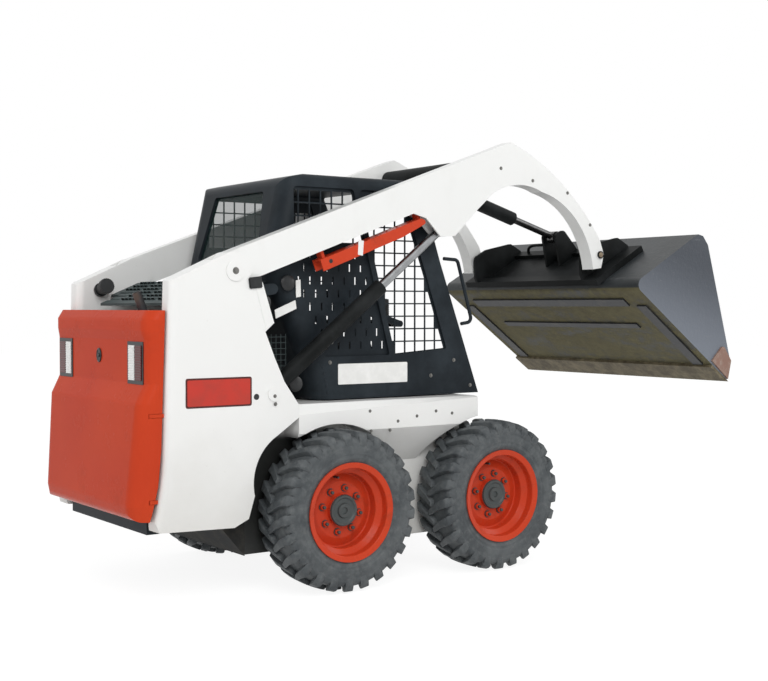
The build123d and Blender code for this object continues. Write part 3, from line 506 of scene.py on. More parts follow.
def round_axle(name, mesh, count, first_turn, paint):
    """Copies of a mesh, evenly spaced round the Y axis."""
    piece = new_piece(name, mesh)
    values = {"Count": count, "First turn": first_turn, "Material": paint.material}
    return grow(piece, ring, ring_keys, values)


def mirrored(mesh):
    """The same mesh on the other side of the XZ plane, with its faces still outwards."""
    other = mesh.copy()
    other.transform(Matrix.Scale(-1, 4, (0, 1, 0)))
    other.flip_normals()
    return other


bar = lug_mesh()
outer_lugs = round_axle("outer_lugs", bar, LUGS, 0.0, rubber)
inner_lugs = round_axle("inner_lugs", mirrored(bar), LUGS, math.pi / LUGS, rubber)
carcass = turned("carcass", carcass_profile())
one_tyre = joined("one_tyre", [carcass, outer_lugs.data, inner_lugs.data], rubber)
smooth(one_tyre.data, 38)
discard(outer_lugs, inner_lugs)

WHEELS = [f"{end}_{side}" for end in ("rear", "front") for side in ("right", "left")]
for wheel in WHEELS:
    low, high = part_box(f"tyre_{wheel}")
    centre = (low + high) / 2
    mesh = one_tyre.data.copy() if "left" in wheel else mirrored(one_tyre.data)
    mesh.transform(Matrix.Translation(centre))
    tyre = new_piece(f"{wheel}_tyre_tread", mesh)
    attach(tyre, f"{wheel}_wheel")
    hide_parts(f"tyre_{wheel}")
discard(one_tyre)


# ---------------------------------------------------------------- wheel discs
# Pressed steel discs in orange enamel, held on eight studs by nuts in the same paint with dark
# washers. The hub is bare and oily, with a raised ring and a plug in the middle.
def orange_enamel(name, grime, light, deep):
    """Enamel between two tones, dulled where dirt has been rubbed in."""
    paint = Paint(name)
    rubbed = paint.step(paint.noise(7.0, 8.0, 0.7), 0.5, 0.85) * grime
    tone = paint.mix(paint.noise(1.2, 2.0), deep, light)
    paint.set(Base_Color=paint.mix(rubbed, tone, (0.10, 0.035, 0.022)))
    paint.set(Roughness=rubbed * 0.5 + 0.26, Specular_IOR_Level=0.14)
    paint.set(Normal=paint.bump(paint.noise(30.0, 2.0), 0.05, 0.002))
    return paint


wheel_orange = orange_enamel("wheel_orange", 0.6, (0.62, 0.062, 0.020), (0.50, 0.042, 0.016))
dress(wheel_orange, *[f"rim_{wheel}" for wheel in WHEELS])
hub_grey = Paint("hub_grey")
hub_grey.set(Base_Color=hub_grey.mix(hub_grey.noise(25.0), (0.022, 0.028, 0.028), (0.06, 0.07, 0.07)))
hub_grey.set(Roughness=0.5, Normal=hub_grey.bump(hub_grey.noise(80.0), 0.3, 0.001))
STUD_CIRCLE = 0.103
STUDS = 8
FIRST_STUD = 0.2                            # turned from straight up, in radians
DISC_Y = 0.596                              # the disc's outer face on a left wheel


def hexagon(across, y_low, y_high, x=0.0, z=0.0, bevel=0.0012):
    """A hexagonal nut along Y."""
    form = bmesh.new()
    turn = Matrix.Translation((x, (y_low + y_high) / 2, z)) @ Matrix.Rotation(math.pi / 2, 4, "X")
    bmesh.ops.create_cone(
        form, cap_ends=True, segments=6, radius1=across / 2, radius2=across / 2, depth=y_high - y_low,
        matrix=turn,
    )
    bmesh.ops.bevel(form, geom=form.edges[:], offset=bevel, segments=1, affect="EDGES")
    return to_mesh(form, "nut")


def wheel_piece(name, meshes, paint, wheel):
    """One piece on a wheel, from meshes drawn for a left wheel with its axle at the origin."""
    centre = sum(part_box(f"rim_{wheel}"), Vector()) / 2
    piece = joined(name, meshes, paint)
    if "right" in wheel:
        piece.data = mirrored(piece.data)
    piece.data.transform(Matrix.Translation((centre.x, 0, centre.z)))
    smooth(piece.data)
    return fit(piece, f"{wheel}_wheel")


nut = hexagon(0.030, DISC_Y + 0.002, DISC_Y + 0.015, z=STUD_CIRCLE)
nuts = round_axle("nuts", nut, STUDS, FIRST_STUD, wheel_orange)
washer = turned("washer", [
    (DISC_Y - 0.002, 0), (DISC_Y - 0.002, 0.018), (DISC_Y + 0.003, 0.018), (DISC_Y + 0.003, 0),
], 24)
washer.transform(Matrix.Translation((0, 0, STUD_CIRCLE)))
stud = turned("stud", [
    (DISC_Y, 0), (DISC_Y, 0.008), (DISC_Y + 0.024, 0.008), (DISC_Y + 0.026, 0.006), (DISC_Y + 0.026, 0),
], 16)
stud.transform(Matrix.Translation((0, 0, STUD_CIRCLE)))
stud_and_washer = joined("stud_and_washer", [washer, stud], hub_grey)
studs = round_axle("studs", stud_and_washer.data, STUDS, FIRST_STUD, hub_grey)
cap = turned("cap", [
    (DISC_Y + 0.020, 0), (DISC_Y + 0.020, 0.071), (DISC_Y + 0.026, 0.074), (DISC_Y + 0.034, 0.070),
    (DISC_Y + 0.035, 0.060), (DISC_Y + 0.030, 0.054), (DISC_Y + 0.030, 0.036), (DISC_Y + 0.038, 0.032),
    (DISC_Y + 0.038, 0.016), (DISC_Y + 0.032, 0.013), (DISC_Y + 0.032, 0),
], 64)
valve = turned("valve", [
    (DISC_Y - 0.02, 0), (DISC_Y - 0.02, 0.006), (DISC_Y + 0.03, 0.005), (DISC_Y + 0.03, 0),
], 16)
valve.transform(Matrix.Translation((-0.03, 0, 0.155)))
for wheel in WHEELS:
    wheel_piece(f"{wheel}_nuts", [nuts.data], wheel_orange, wheel)
    wheel_piece(f"{wheel}_hub_cap", [studs.data, cap, valve], hub_grey, wheel)
discard(nuts, studs, stud_and_washer)


# ---------------------------------------------------------------- uprights
# Two welded boxes that carry the lift arms, in the same white enamel. The right one has a
# blank red name plate; the front edges are doubled and end in rubber stops under the arms.
def slab(name, corners, y_low, y_high, paint, bevel=0.0015):
    """Corners in X (from under the rear axle) and Z, made solid between two Y values."""
    form = bmesh.new()
    skin(form, [[form.verts.new((x + AXLE_X, y, z)) for x, z in corners] for y in (y_low, y_high)])
    bmesh.ops.recalc_face_normals(form, faces=form.faces)
    if bevel:
        bmesh.ops.bevel(form, geom=form.edges[:], offset=bevel, segments=2, affect="EDGES")
    return new_piece(name, smooth(to_mesh(form, name), 30), paint)


def slabs_on_both_sides(name, corners, inner, outer, paint, bevel):
    """A slab on the right face of the chassis and one on the left, between two distances from its middle."""
    for side, sign in SIDES:
        near, far = sorted((sign * inner, sign * outer))
        fit(slab(f"{name}_{side}", corners, near, far, paint, bevel), "chassis")


def rounded(x_low, x_high, z_low, z_high, radius, steps=5):
    """Corners of a rectangle with round corners."""
    corners = []
    for cx, cz, start in (
        (x_high - radius, z_high - radius, 0), (x_low + radius, z_high - radius, 1),
        (x_low + radius, z_low + radius, 2), (x_high - radius, z_low + radius, 3),
    ):
        for k in range(steps + 1):
            a = math.pi / 2 * (start + k / steps)
            corners.append((cx + radius * math.cos(a), cz + radius * math.sin(a)))
    return corners


def enamel_plate(name, colour, other):
    """A small even plate, softly clouded between two colours."""
    paint = Paint(name)
    paint.set(Base_Color=paint.mix(paint.step(paint.noise(18.0, 5.0), 0.35, 0.8), colour, other))
    paint.set(Roughness=0.35, Specular_IOR_Level=0.35, Normal=paint.bump(paint.noise(45.0), 0.05, 0.001))
    return paint


black_rubber = enamel_plate("black_rubber", (0.012, 0.013, 0.014), (0.030, 0.032, 0.034))
plate_red = enamel_plate("name_plate_red", (0.52, 0.036, 0.022), (0.42, 0.040, 0.026))
border_maroon = enamel_plate("name_plate_border", (0.08, 0.012, 0.010), (0.05, 0.012, 0.010))
border = rounded(-0.778, -0.452, 0.877, 1.007, 0.010)
fit(slab("name_plate_border", border, -0.5665, -0.5645, border_maroon, 0.0005), "chassis")
face = rounded(-0.770, -0.460, 0.885, 0.999, 0.007)
fit(slab("name_plate", face, -0.5675, -0.5655, plate_red, 0.0005), "chassis")
plug = turned("upright_plug", [
    (0.563, 0), (0.563, 0.0135), (0.5665, 0.0135), (0.5665, 0.010), (0.5655, 0.009), (0.5655, 0),
], 24)
for side, mesh in (("right", mirrored(plug)), ("left", plug)):
    mesh.transform(Matrix.Translation((-0.428 + AXLE_X, 0, 0.915)))
    fit(new_piece(f"upright_plug_{side}", mesh, black_rubber), "chassis")
on_both_sides("pivot_bolts", [(-0.533, 1.476)], 0.571, 0.011, 0.007, bolt_zinc, "chassis")
UPRIGHT_BOLTS = [(-0.332, 0.879), (-0.335, 0.915)]
on_both_sides("upright_bolts", UPRIGHT_BOLTS, 0.570, 0.006, 0.005, bolt_zinc, "chassis")
FLANGE = [(-0.434, 1.416), (-0.398, 1.424), (-0.339, 1.246), (-0.380, 1.214)]
STOP = [(-0.464, 1.396), (-0.470, 1.446), (-0.404, 1.454), (-0.398, 1.402)]
slabs_on_both_sides("upright_doubler", FLANGE, 0.560, 0.5675, white, 0.002)
slabs_on_both_sides("arm_stop", STOP, 0.5655, 0.576, black_rubber, 0.004)


# ---------------------------------------------------------------- rear door
# A deep moulded door in glossy orange enamel, with a lock in its recess. Its lamps have a black
# frame, a clear lens inboard for reversing and a dark red one outboard.
orange = orange_enamel("orange_enamel", 0.18, (0.62, 0.072, 0.022), (0.45, 0.036, 0.018))
orange.set(Specular_IOR_Level=0.035)
dress(orange, "rear_door", "door_hinges")
LAMP_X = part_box("tail_lamps")[0].x
dress(black_rubber, "tail_lamps")
clear_lens = Paint("clear_lens")
flute = clear_lens.noise(30.0, 3.0, stretch=(1, 1, 6))
clear_lens.set(Base_Color=clear_lens.mix(flute, (0.62, 0.64, 0.62), (0.86, 0.87, 0.85)))
clear_lens.set(Roughness=0.12, Coat_Weight=0.6)
red_lens = Paint("red_lens")
red_lens.set(Base_Color=red_lens.mix(red_lens.noise(40.0), (0.05, 0.004, 0.005), (0.13, 0.010, 0.010)))
red_lens.set(Roughness=0.10, Specular_IOR_Level=0.2)


def fluted_lens(name, y_low, y_high, z_low, z_high, paint):
    """A lens on the lamp's rear face, crossed by moulded ribs."""
    form = bmesh.new()
    steps = 14 * 4                          # fourteen ribs of four steps each
    profile = []
    for k in range(steps + 1):
        z = z_low + (z_high - z_low) * k / steps
        profile.append((LAMP_X - 0.0035 - 0.0012 * math.cos(2 * math.pi * k / 4), z))
    edges = []
    for y in (y_low, y_high):
        edges.append([form.verts.new((x, y, z)) for x, z in profile])
    feet = [[form.verts.new((LAMP_X + 0.001, y, z)) for z in (z_low, z_high)] for y in (y_low, y_high)]
    for k in range(len(profile) - 1):
        form.faces.new((edges[0][k], edges[0][k + 1], edges[1][k + 1], edges[1][k]))
    for side in (0, 1):
        form.faces.new([*edges[side], feet[side][1], feet[side][0]])
    form.faces.new((feet[0][0], feet[0][1], feet[1][1], feet[1][0]))
    form.faces.new((edges[0][0], edges[1][0], feet[1][0], feet[0][0]))
    form.faces.new((edges[0][-1], edges[1][-1], feet[1][1], feet[0][1]))
    bmesh.ops.recalc_face_normals(form, faces=form.faces)
    return fit(new_piece(name, smooth(to_mesh(form, name), 40), paint), "rear_door")


for side, sign in SIDES:
    for kind, near, far, paint in (("clear", 0.330, 0.389, clear_lens), ("red", 0.397, 0.459, red_lens)):
        y_low, y_high = sorted((sign * near, sign * far))
        fluted_lens(f"{kind}_lens_{side}", y_low, y_high, 0.998, 1.150, paint)

latch = turned("latch", [(0, 0), (0, 0.026), (0.004, 0.026), (0.0055, 0.022), (0.003, 0.019), (0.003, 0)], 32)
latch.transform(Matrix.Scale(1.25, 4, (0, 0, 1)))
keyway = turned("keyway", [(0.002, 0), (0.002, 0.010), (0.007, 0.009), (0.007, 0)], 16)
lock = joined("door_lock", [latch, keyway], black_rubber)
lock.data.transform(Matrix.Translation((-0.9305 + AXLE_X, 0, 1.096)) @ Matrix.Rotation(math.pi / 2, 4, "Z"))
smooth(lock.data)
fit(lock, "rear_door")


# ---------------------------------------------------------------- engine lid, filler and exhaust
# The lid is pressed steel with rows of hooded louvres in dark satin enamel. Beside it are the
# ribbed filler cap and the exhaust, whose mild steel has blued and rusted with heat.
def satin_enamel(name, deep, faded, gloss=0.40):
    """Dark enamel, faded and a little rougher in patches."""
    paint = Paint(name)
    sun = paint.step(paint.noise(4.0, 6.0), 0.35, 0.75)
    paint.set(Base_Color=paint.mix(sun, deep, faded))
    paint.set(Roughness=sun * 0.15 + gloss, Specular_IOR_Level=0.08)
    paint.set(Normal=paint.bump(paint.noise(90.0, 2.0), 0.10, 0.001))
    return paint


charcoal = satin_enamel("charcoal_enamel", (0.017, 0.022, 0.027), (0.034, 0.042, 0.049))
lid_grey = satin_enamel("lid_grey", (0.045, 0.060, 0.062), (0.085, 0.105, 0.105), 0.45)
dress(charcoal, "engine_cowl", "rear_bumper")
dress(lid_grey, "rear_grille")

rows_of, rows_in, rows_keys = new_tree("rows_of_pieces", {
    "Geometry": "Geometry", "Count": "Int", "Step": "Vector", "Rows": "Int", "Row step": "Vector",
    "Material": "Material",
})
row_points = rows_of.add("GeometryNodeMeshLine", {"mode": "OFFSET"}, {
    "Count": rows_in["Count"], "Offset": rows_in["Step"],
})
column_points = rows_of.add("GeometryNodeMeshLine", {"mode": "OFFSET"}, {
    "Count": rows_in["Rows"], "Offset": rows_in["Row step"],
})
one_row = rows_of.add("GeometryNodeInstanceOnPoints", inputs={
    "Points": row_points, "Instance": rows_in["Geometry"],
})
all_rows = rows_of.add("GeometryNodeInstanceOnPoints", inputs={"Points": column_points, "Instance": one_row})
close_tree(rows_of, all_rows, rows_in["Material"])


def in_rows(piece, count, step, rows, row_step, paint):
    """Copies of a piece in a row, and that row repeated."""
    return grow(piece, rows_of, rows_keys, {
        "Count": count, "Step": step, "Rows": rows, "Row step": row_step, "Material": paint.material,
    })


LID_SLOPE = (1.437 - 1.334) / (0.775 - 0.532)
LID_FOOT = (-0.775, 1.334)                  # X from under the rear axle, and Z
LOUVRE_PITCH = 0.038


def louvre_hood(length, reach, tall, thick=0.0016):
    """A small pressed hood, open towards the rear: an arched sheet with closed ends."""
    form = bmesh.new()
    stations = 8
    bend = ((0, 0), (0.35, 0.62), (0.7, 0.95), (1.0, 1.0))
    rings = []
    for k in range(stations + 1):
        share = k / stations
        y = -length / 2 + length * share
        lift = tall * min(1, 6 * min(share, 1 - share)) ** 0.6
        over = [(-reach * u, y, lift * v + 0.0004) for u, v in bend]
        under = [(-reach * u, y, max(lift * v - thick, -0.002)) for u, v in reversed(bend)]
        rings.append([form.verts.new(place) for place in over + under])
    skin(form, rings)
    bmesh.ops.remove_doubles(form, verts=form.verts, dist=1e-6)
    bmesh.ops.recalc_face_normals(form, faces=form.faces)
    form.transform(Matrix.Rotation(-math.atan(LID_SLOPE), 4, "Y"))
    return to_mesh(form, "louvre_hood")


hoods = []
for bay, first, count in ((-0.300, 0, 6), (-0.100, 0, 6), (0.100, 0, 6), (0.300, 3, 3)):
    hood = louvre_hood(0.040, 0.018, 0.0095)
    hood_x = -0.740 + 0.018 + LOUVRE_PITCH * first
    hood_z = LID_FOOT[1] + (hood_x - LID_FOOT[0]) * LID_SLOPE
    hood.transform(Matrix.Translation((hood_x + AXLE_X, bay - 0.065, hood_z)))
    piece = new_piece("hoods", hood)
    up_the_lid = (LOUVRE_PITCH, 0, LOUVRE_PITCH * LID_SLOPE)
    hoods.append(in_rows(piece, 4, (0, 0.0433, 0), count, up_the_lid, lid_grey))
louvres = joined("lid_louvres", [piece.data for piece in hoods], lid_grey)
discard(*hoods)
smooth(louvres.data, 50)
fit(louvres, "rear_grille")

dress(black_rubber, "fuel_cap")
rib_section = [(-0.0022, 0), (0.0022, 0), (0.0016, 0.0026), (-0.0016, 0.0026)]
rib = slab("rib", rib_section, 0.034, 0.060, black_rubber, 0)
rib.data.transform(Matrix.Translation((-AXLE_X, 0, 0.0352)))
ribs = round_axle("filler_cap_ribs", rib.data, 22, 0.0, black_rubber)
discard(rib)
CAP_TILT = math.radians(14)
ribs.data.transform(
    Matrix.Translation((-0.730 + AXLE_X, 0.457, 1.399)) @ Matrix.Rotation(-CAP_TILT, 4, "X")
    @ Matrix.Scale(-1, 4, (0, 1, 0)) @ Matrix.Translation((0, 0.030, 0))
)
ribs.data.flip_normals()
fit(ribs, "chassis")

hot_steel = Paint("heated_steel")
bloom = hot_steel.step(hot_steel.noise(10.0, 6.0), 0.35, 0.7)
hot_steel.set(Base_Color=hot_steel.mix(bloom, (0.060, 0.062, 0.068), (0.12, 0.075, 0.045)))
hot_steel.set(Metallic=0.4, Roughness=bloom * 0.25 + 0.45)
hot_steel.set(Normal=hot_steel.bump(hot_steel.noise(70.0), 0.2, 0.001))
dress(hot_steel, "exhaust_pipe")


# ---------------------------------------------------------------- cab
# A pressed steel shell in charcoal enamel, with pierced sheets over both sides, a tinted pane
# behind the driver, a bare pale plate along the right sill, and bolts round its edges.
cab_paint = satin_enamel("cab_enamel", (0.014, 0.018, 0.022), (0.030, 0.038, 0.045))
dress(cab_paint, "cab_shell", "cab_floor", "side_screen_right", "side_screen_left", "grab_handles")
smoked = Paint("tinted_pane")
smoked.set(Base_Color=smoked.mix(smoked.noise(3.0), (0.010, 0.028, 0.027), (0.018, 0.040, 0.037)))
smoked.set(Roughness=0.06, Alpha=0.38, Specular_IOR_Level=0.2)
dress(smoked, "rear_screen")

plate_white = enamel_plate("sill_plate", (0.78, 0.78, 0.76), (0.88, 0.88, 0.86))
sill = rounded(0.093, 0.503, 0.945, 1.044, 0.005)
fit(slab("cab_sill_plate", sill, -0.4375, -0.4345, plate_white, 0.0007), "cab")
CAB_SIDE = 0.435
CAB_BOLTS = [(0.798, 1.046), (0.651, 0.972), (0.058, 1.149), (0.048, 1.052), (0.905, 0.915)]
CAB_RIVETS = [(0.010 + 0.028 * (1.02 - z) / 0.12, z) for z in (1.03, 1.0, 0.97, 0.94, 0.91)]
on_both_sides("cab_bolts", CAB_BOLTS, CAB_SIDE, 0.007, 0.005, bolt_zinc, "cab")
on_both_sides("cab_rivets", CAB_RIVETS, CAB_SIDE, 0.0045, 0.003, charcoal, "cab", 10)


# ---------------------------------------------------------------- behind the cab
# Seen past the right upright: a cooler guard of welded wire, a return-oil filter, two pressed
# covers, and a bracket and a strap in pale enamel.
upright_wire = [(-0.285, 1.020), (-0.282, 1.020), (-0.282, 1.190), (-0.285, 1.190)]
guard_bar = slab("guard_bar", upright_wire, -0.406, -0.403, underseal, 0.0005)
in_rows(guard_bar, 5, (0.026, 0, 0), 1, (0, 0, 0), underseal)
level_wire = [(-0.285, 1.040), (-0.178, 1.040), (-0.178, 1.043), (-0.285, 1.043)]
guard_rung = slab("guard_rung", level_wire, -0.409, -0.406, underseal, 0.0005)
in_rows(guard_rung, 1, (0, 0, 0), 6, (0, 0, 0.027), underseal)
guard = joined("cooler_guard", [guard_bar.data, guard_rung.data], lid_grey)
discard(guard_bar, guard_rung)
fit(guard, "chassis")
round_port = turned("round_port", [
    (-0.453, 0), (-0.453, 0.030), (-0.449, 0.036), (-0.444, 0.037), (-0.440, 0.030), (-0.440, 0),
], 40)
for number, (x, z) in enumerate(((-0.191, 1.427), (-0.150, 0.958))):
    port = round_port.copy()
    port.transform(Matrix.Translation((x + AXLE_X, 0, z)))
    fit(new_piece(f"pressed_cover_{number}", port, black_rubber), "chassis")
strap = [(-0.146, 1.360), (-0.120, 1.364), (-0.122, 1.444), (-0.148, 1.440)]
fit(slab("pale_strap", strap, -0.446, -0.442, plate_white, 0.001), "chassis")
filter_can = turned("filter_can", [
    (-0.445, 0), (-0.445, 0.034), (-0.441, 0.040), (-0.436, 0.041), (-0.370, 0.041), (-0.360, 0.036),
    (-0.360, 0),
], 48)
filter_can.transform(Matrix.Translation((-0.318 + AXLE_X, 0, 1.335)))
fit(new_piece("oil_filter", filter_can, black_rubber), "chassis")
bracket = [(-0.262, 1.302), (-0.150, 1.348), (-0.144, 1.308), (-0.256, 1.262)]
fit(slab("filter_bracket", bracket, -0.446, -0.441, plate_white, 0.001), "chassis")


# ---------------------------------------------------------------- seat
# A moulded pan with two foam cushions in black vinyl, piped along their edges and sewn into
# channels, on a boxed plinth. The foam is pumped up as cloth from a slightly smaller block.
vinyl = Paint("black_vinyl")
creased = vinyl.step(vinyl.noise(14.0, 8.0, 0.7), 0.4, 0.8)
vinyl.set(Base_Color=vinyl.mix(creased, (0.014, 0.015, 0.016), (0.040, 0.042, 0.043)))
vinyl.set(Roughness=creased * 0.2 + 0.42, Specular_IOR_Level=0.4)
vinyl.set(Normal=vinyl.bump(vinyl.noise(260.0, 3.0), 0.25, 0.0006))

SEAT_SLOPE = math.atan2(-0.130, 0.430)      # of the backrest, from upright
CUSHION_SIZE = (0.270, 0.420, 0.062)        # depth, width and thickness of the foam block
BACK_SIZE = (0.060, 0.400, 0.350)           # thickness, width and height
PULL_IN = 0.035                             # of the block's sides between their corners
PRESSURE = 4.0
PUMP_FRAMES = 20
SWELL = 0.010                               # the furthest that the skin may move out
CHANNEL_HALF = 0.006
CHANNEL_DEEP = 0.007


def foam_block(size, pull_in):
    """A closed block whose sides pull in between its corners."""
    form = bmesh.new()
    bmesh.ops.create_cube(form, size=1.0)
    bmesh.ops.subdivide_edges(form, edges=form.edges[:], cuts=9, use_grid_fill=True)
    for v in form.verts:
        x, y, z = (2 * c for c in v.co)
        v.co.x = x / 2 * size[0] * (1 - pull_in * (1 - y * y))
        v.co.y = y / 2 * size[1] * (1 - pull_in * (1 - x * x) * (1 - z * z))
        v.co.z = z / 2 * size[2] * (1 - pull_in * (1 - y * y))
    return to_mesh(form, "foam")


def stuffed(name, size, channels, across, outwards):
    """Cloth skin under pressure over a foam block, with channels across its outer face pressed in after."""
    piece = new_piece(name, foam_block(size, PULL_IN), vinyl)
    skin = piece.modifiers.new("skin", "REMESH")
    skin.mode = "VOXEL"
    skin.voxel_size = 0.006
    settle(piece)
    start = [v.co.copy() for v in piece.data.vertices]
    scene = bpy.context.scene
    fill = piece.modifiers.new("fill", "CLOTH")
    fill.settings.use_pressure = True
    fill.settings.uniform_pressure_force = PRESSURE
    fill.settings.effector_weights.gravity = 0.0
    for moment in range(1, PUMP_FRAMES + 1):
        scene.frame_set(moment)
    blown = piece.evaluated_get(bpy.context.evaluated_depsgraph_get())
    reached = [v.co.copy() for v in blown.data.vertices]
    piece.modifiers.clear()
    scene.frame_set(1)
    for v, before, after in zip(piece.data.vertices, start, reached):
        move = after - before
        v.co = before + move * min(1.0, SWELL / max(move.length, 1e-9))
    for v in piece.data.vertices:
        if v.normal[outwards] > 0.3:
            for place in channels:
                near = (v.co[across] - place) / CHANNEL_HALF
                v.co[outwards] -= CHANNEL_DEEP * math.exp(-near * near)
    finer = piece.modifiers.new("finer", "SUBSURF")
    finer.levels = finer.render_levels = 1
    settle(piece)
    piece.data.shade_smooth()
    return piece


def tube(name, places, radius, paint, round_steps, closed):
    """A round bar along a smooth line, joined to itself or closed at both ends."""
    line = bpy.data.curves.new(name, "CURVE")
    line.dimensions = "3D"
    line.bevel_depth = radius
    line.bevel_resolution = round_steps
    line.use_fill_caps = not closed
    run = line.splines.new("NURBS")
    run.points.add(len(places) - 1)
    for point, place in zip(run.points, places):
        point.co = (*place, 1)
    run.order_u = 3
    run.use_cyclic_u = closed
    run.use_endpoint_u = not closed
    holder = bpy.data.objects.new(name, line)
    bpy.context.scene.collection.objects.link(holder)
    mesh = bpy.data.meshes.new_from_object(holder.evaluated_get(bpy.context.evaluated_depsgraph_get()))
    discard(holder)
    return new_piece(name, mesh, paint)


def piping(name, length, width, spot):
    """A welt round a cushion; spot turns a length into the other two coordinates, X and Z."""
    corners = rounded(-length / 2, length / 2, -width / 2, width / 2, 0.030, 3)
    places = [(spot(u)[0], v, spot(u)[1]) for u, v in corners]
    return tube(name, places, 0.0035, vinyl, 2, True)


cushion = stuffed("seat_cushion", CUSHION_SIZE, (-0.075, 0.0, 0.075), 0, 2)
cushion_welt = piping(
    "seat_cushion_welt", CUSHION_SIZE[0] + 0.006, CUSHION_SIZE[1] + 0.006, lambda u: (u, 0.018),
)
cushion_turn = Matrix.Translation((0.205 + AXLE_X, 0, 1.106)) @ Matrix.Rotation(-0.05, 4, "Y")
backrest = stuffed("seat_backrest", BACK_SIZE, (-0.10, -0.02, 0.06), 2, 0)
back_welt = piping(
    "seat_backrest_welt", BACK_SIZE[2] + 0.004, BACK_SIZE[1] + 0.006, lambda u: (0.016, u),
)
back_turn = Matrix.Translation((-0.055 + AXLE_X, 0, 1.355)) @ Matrix.Rotation(SEAT_SLOPE, 4, "Y")
for pieces, turn in (((cushion, cushion_welt), cushion_turn), ((backrest, back_welt), back_turn)):
    for piece in pieces:
        piece.data.transform(turn)
        fit(piece, "cab")
pan = slab("seat_pan", [
    (-0.020, 1.062), (0.322, 1.062), (0.330, 1.078), (0.045, 1.076), (0.012, 1.110), (-0.110, 1.535),
    (-0.140, 1.528),
], -0.205, 0.205, charcoal, 0.004)
fit(pan, "cab")
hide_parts("seat")
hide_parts("seat")
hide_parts("seat")


# ---------------------------------------------------------------- levers and seat bar
# Steering levers with ribbed rubber grips and pleated gaiters at the floor; the seat bar is bent
# tube with two foam armrests.
dress(charcoal, "control_levers", "seat_bar")


def upright_turned(name, profile, x, y, paint, body, segments=40):
    """A solid of revolution about a vertical line."""
    mesh = turned(name, profile, segments)
    mesh.transform(Matrix.Translation((x + AXLE_X, y, 0)) @ Matrix.Rotation(math.pi / 2, 4, "X"))
    return fit(new_piece(name, mesh, paint), body)


LEVER_LOW, LEVER_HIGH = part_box("control_levers")
LEVER_X = 0.470                             # from under the rear axle
for side, y in (("right", -0.290), ("left", 0.290)):
    floor_z = LEVER_LOW.z + 0.001
    pleats = [(floor_z, 0.012), (floor_z, 0.046)]
    for k in range(5):
        pleat_z = floor_z + 0.012 + 0.018 * k
        pleats += [(pleat_z, 0.042 - 0.0055 * k), (pleat_z + 0.009, 0.032 - 0.005 * k)]
    pleats += [(floor_z + 0.105, 0.013), (floor_z + 0.105, 0.0115)]
    upright_turned(f"gaiter_{side}", pleats, LEVER_X, y, black_rubber, "cab")
    low, high = LEVER_HIGH.z - 0.092, LEVER_HIGH.z
    grip = [(low, 0.011), (low, 0.021)]
    for k in range(7):
        grip += [(low + 0.010 + 0.010 * k, 0.0225), (low + 0.015 + 0.010 * k, 0.0205)]
    grip += [(high - 0.004, 0.0205), (high + 0.002, 0.012), (high + 0.002, 0.011)]
    upright_turned(f"lever_grip_{side}", grip, LEVER_X, y, black_rubber, "cab")


# ---------------------------------------------------------------- lift arms
# Box-section arms in white enamel, joined at the front by a tube. A scuffed orange channel, the
# lift arm support, hangs in a pale clip under the right one; small bolts carry the hose clips
# inside, and the bucket's pins end in greased caps.
arm_white = Paint("arm_enamel")
rain = arm_white.step(arm_white.noise(6.0, 6.0, stretch=(1, 1, 0.4)), 0.5, 0.8) * 0.18
arm_white.set(Base_Color=arm_white.mix(rain, (0.83, 0.835, 0.82), (0.62, 0.61, 0.57)))
arm_white.set(Roughness=rain * 0.5 + 0.30, Coat_Weight=0.2, Coat_Roughness=0.15)
arm_white.set(Normal=arm_white.bump(arm_white.noise(26.0, 2.0), 0.06, 0.002))
dress(arm_white, "lift_arm_right", "lift_arm_left")
support_orange = orange_enamel("support_orange", 0.8, (0.60, 0.060, 0.022), (0.52, 0.048, 0.018))
dress(support_orange, "lift_arm_support")
SUPPORT_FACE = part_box("lift_arm_support")[0].y
dimple = turned("support_hole", [(-0.001, 0), (-0.001, 0.010), (0.001, 0.010), (0.001, 0)], 24)
dimple.transform(Matrix.Translation((-0.019 + AXLE_X, SUPPORT_FACE, 1.529)))
fit(new_piece("support_hole", dimple, black_rubber), "lift_arms")
clip_corners = [(0.136, 1.632), (0.166, 1.628), (0.160, 1.558), (0.132, 1.562)]
clip = slab("support_clip", clip_corners, SUPPORT_FACE - 0.0015, SUPPORT_FACE + 0.001, arm_white, 0.0005)
fit(clip, "lift_arms")
black = satin_enamel("black_enamel", (0.006, 0.007, 0.007), (0.022, 0.024, 0.025), 0.45)
dress(black, "arm_crossmember")
ARM_SIDE = 0.552
ARM_BOLTS = [(1.472, 1.919), (1.638, 1.756), (1.226, 1.970), (1.010, 2.021)]
on_both_sides("arm_bolts", ARM_BOLTS, ARM_SIDE, 0.0065, 0.005, bolt_zinc, "lift_arms")
boss_brown = Paint("greased_pin")
grease = boss_brown.noise(60.0, 3.0)
boss_brown.set(Base_Color=boss_brown.mix(grease, (0.16, 0.105, 0.065), (0.36, 0.29, 0.20)))
boss_brown.set(Roughness=0.5)
BUCKET_PIN = (1.713, 1.597)
on_both_sides("bucket_pin_ends", [BUCKET_PIN], 0.560, 0.010, 0.006, boss_brown, "bucket", 20)


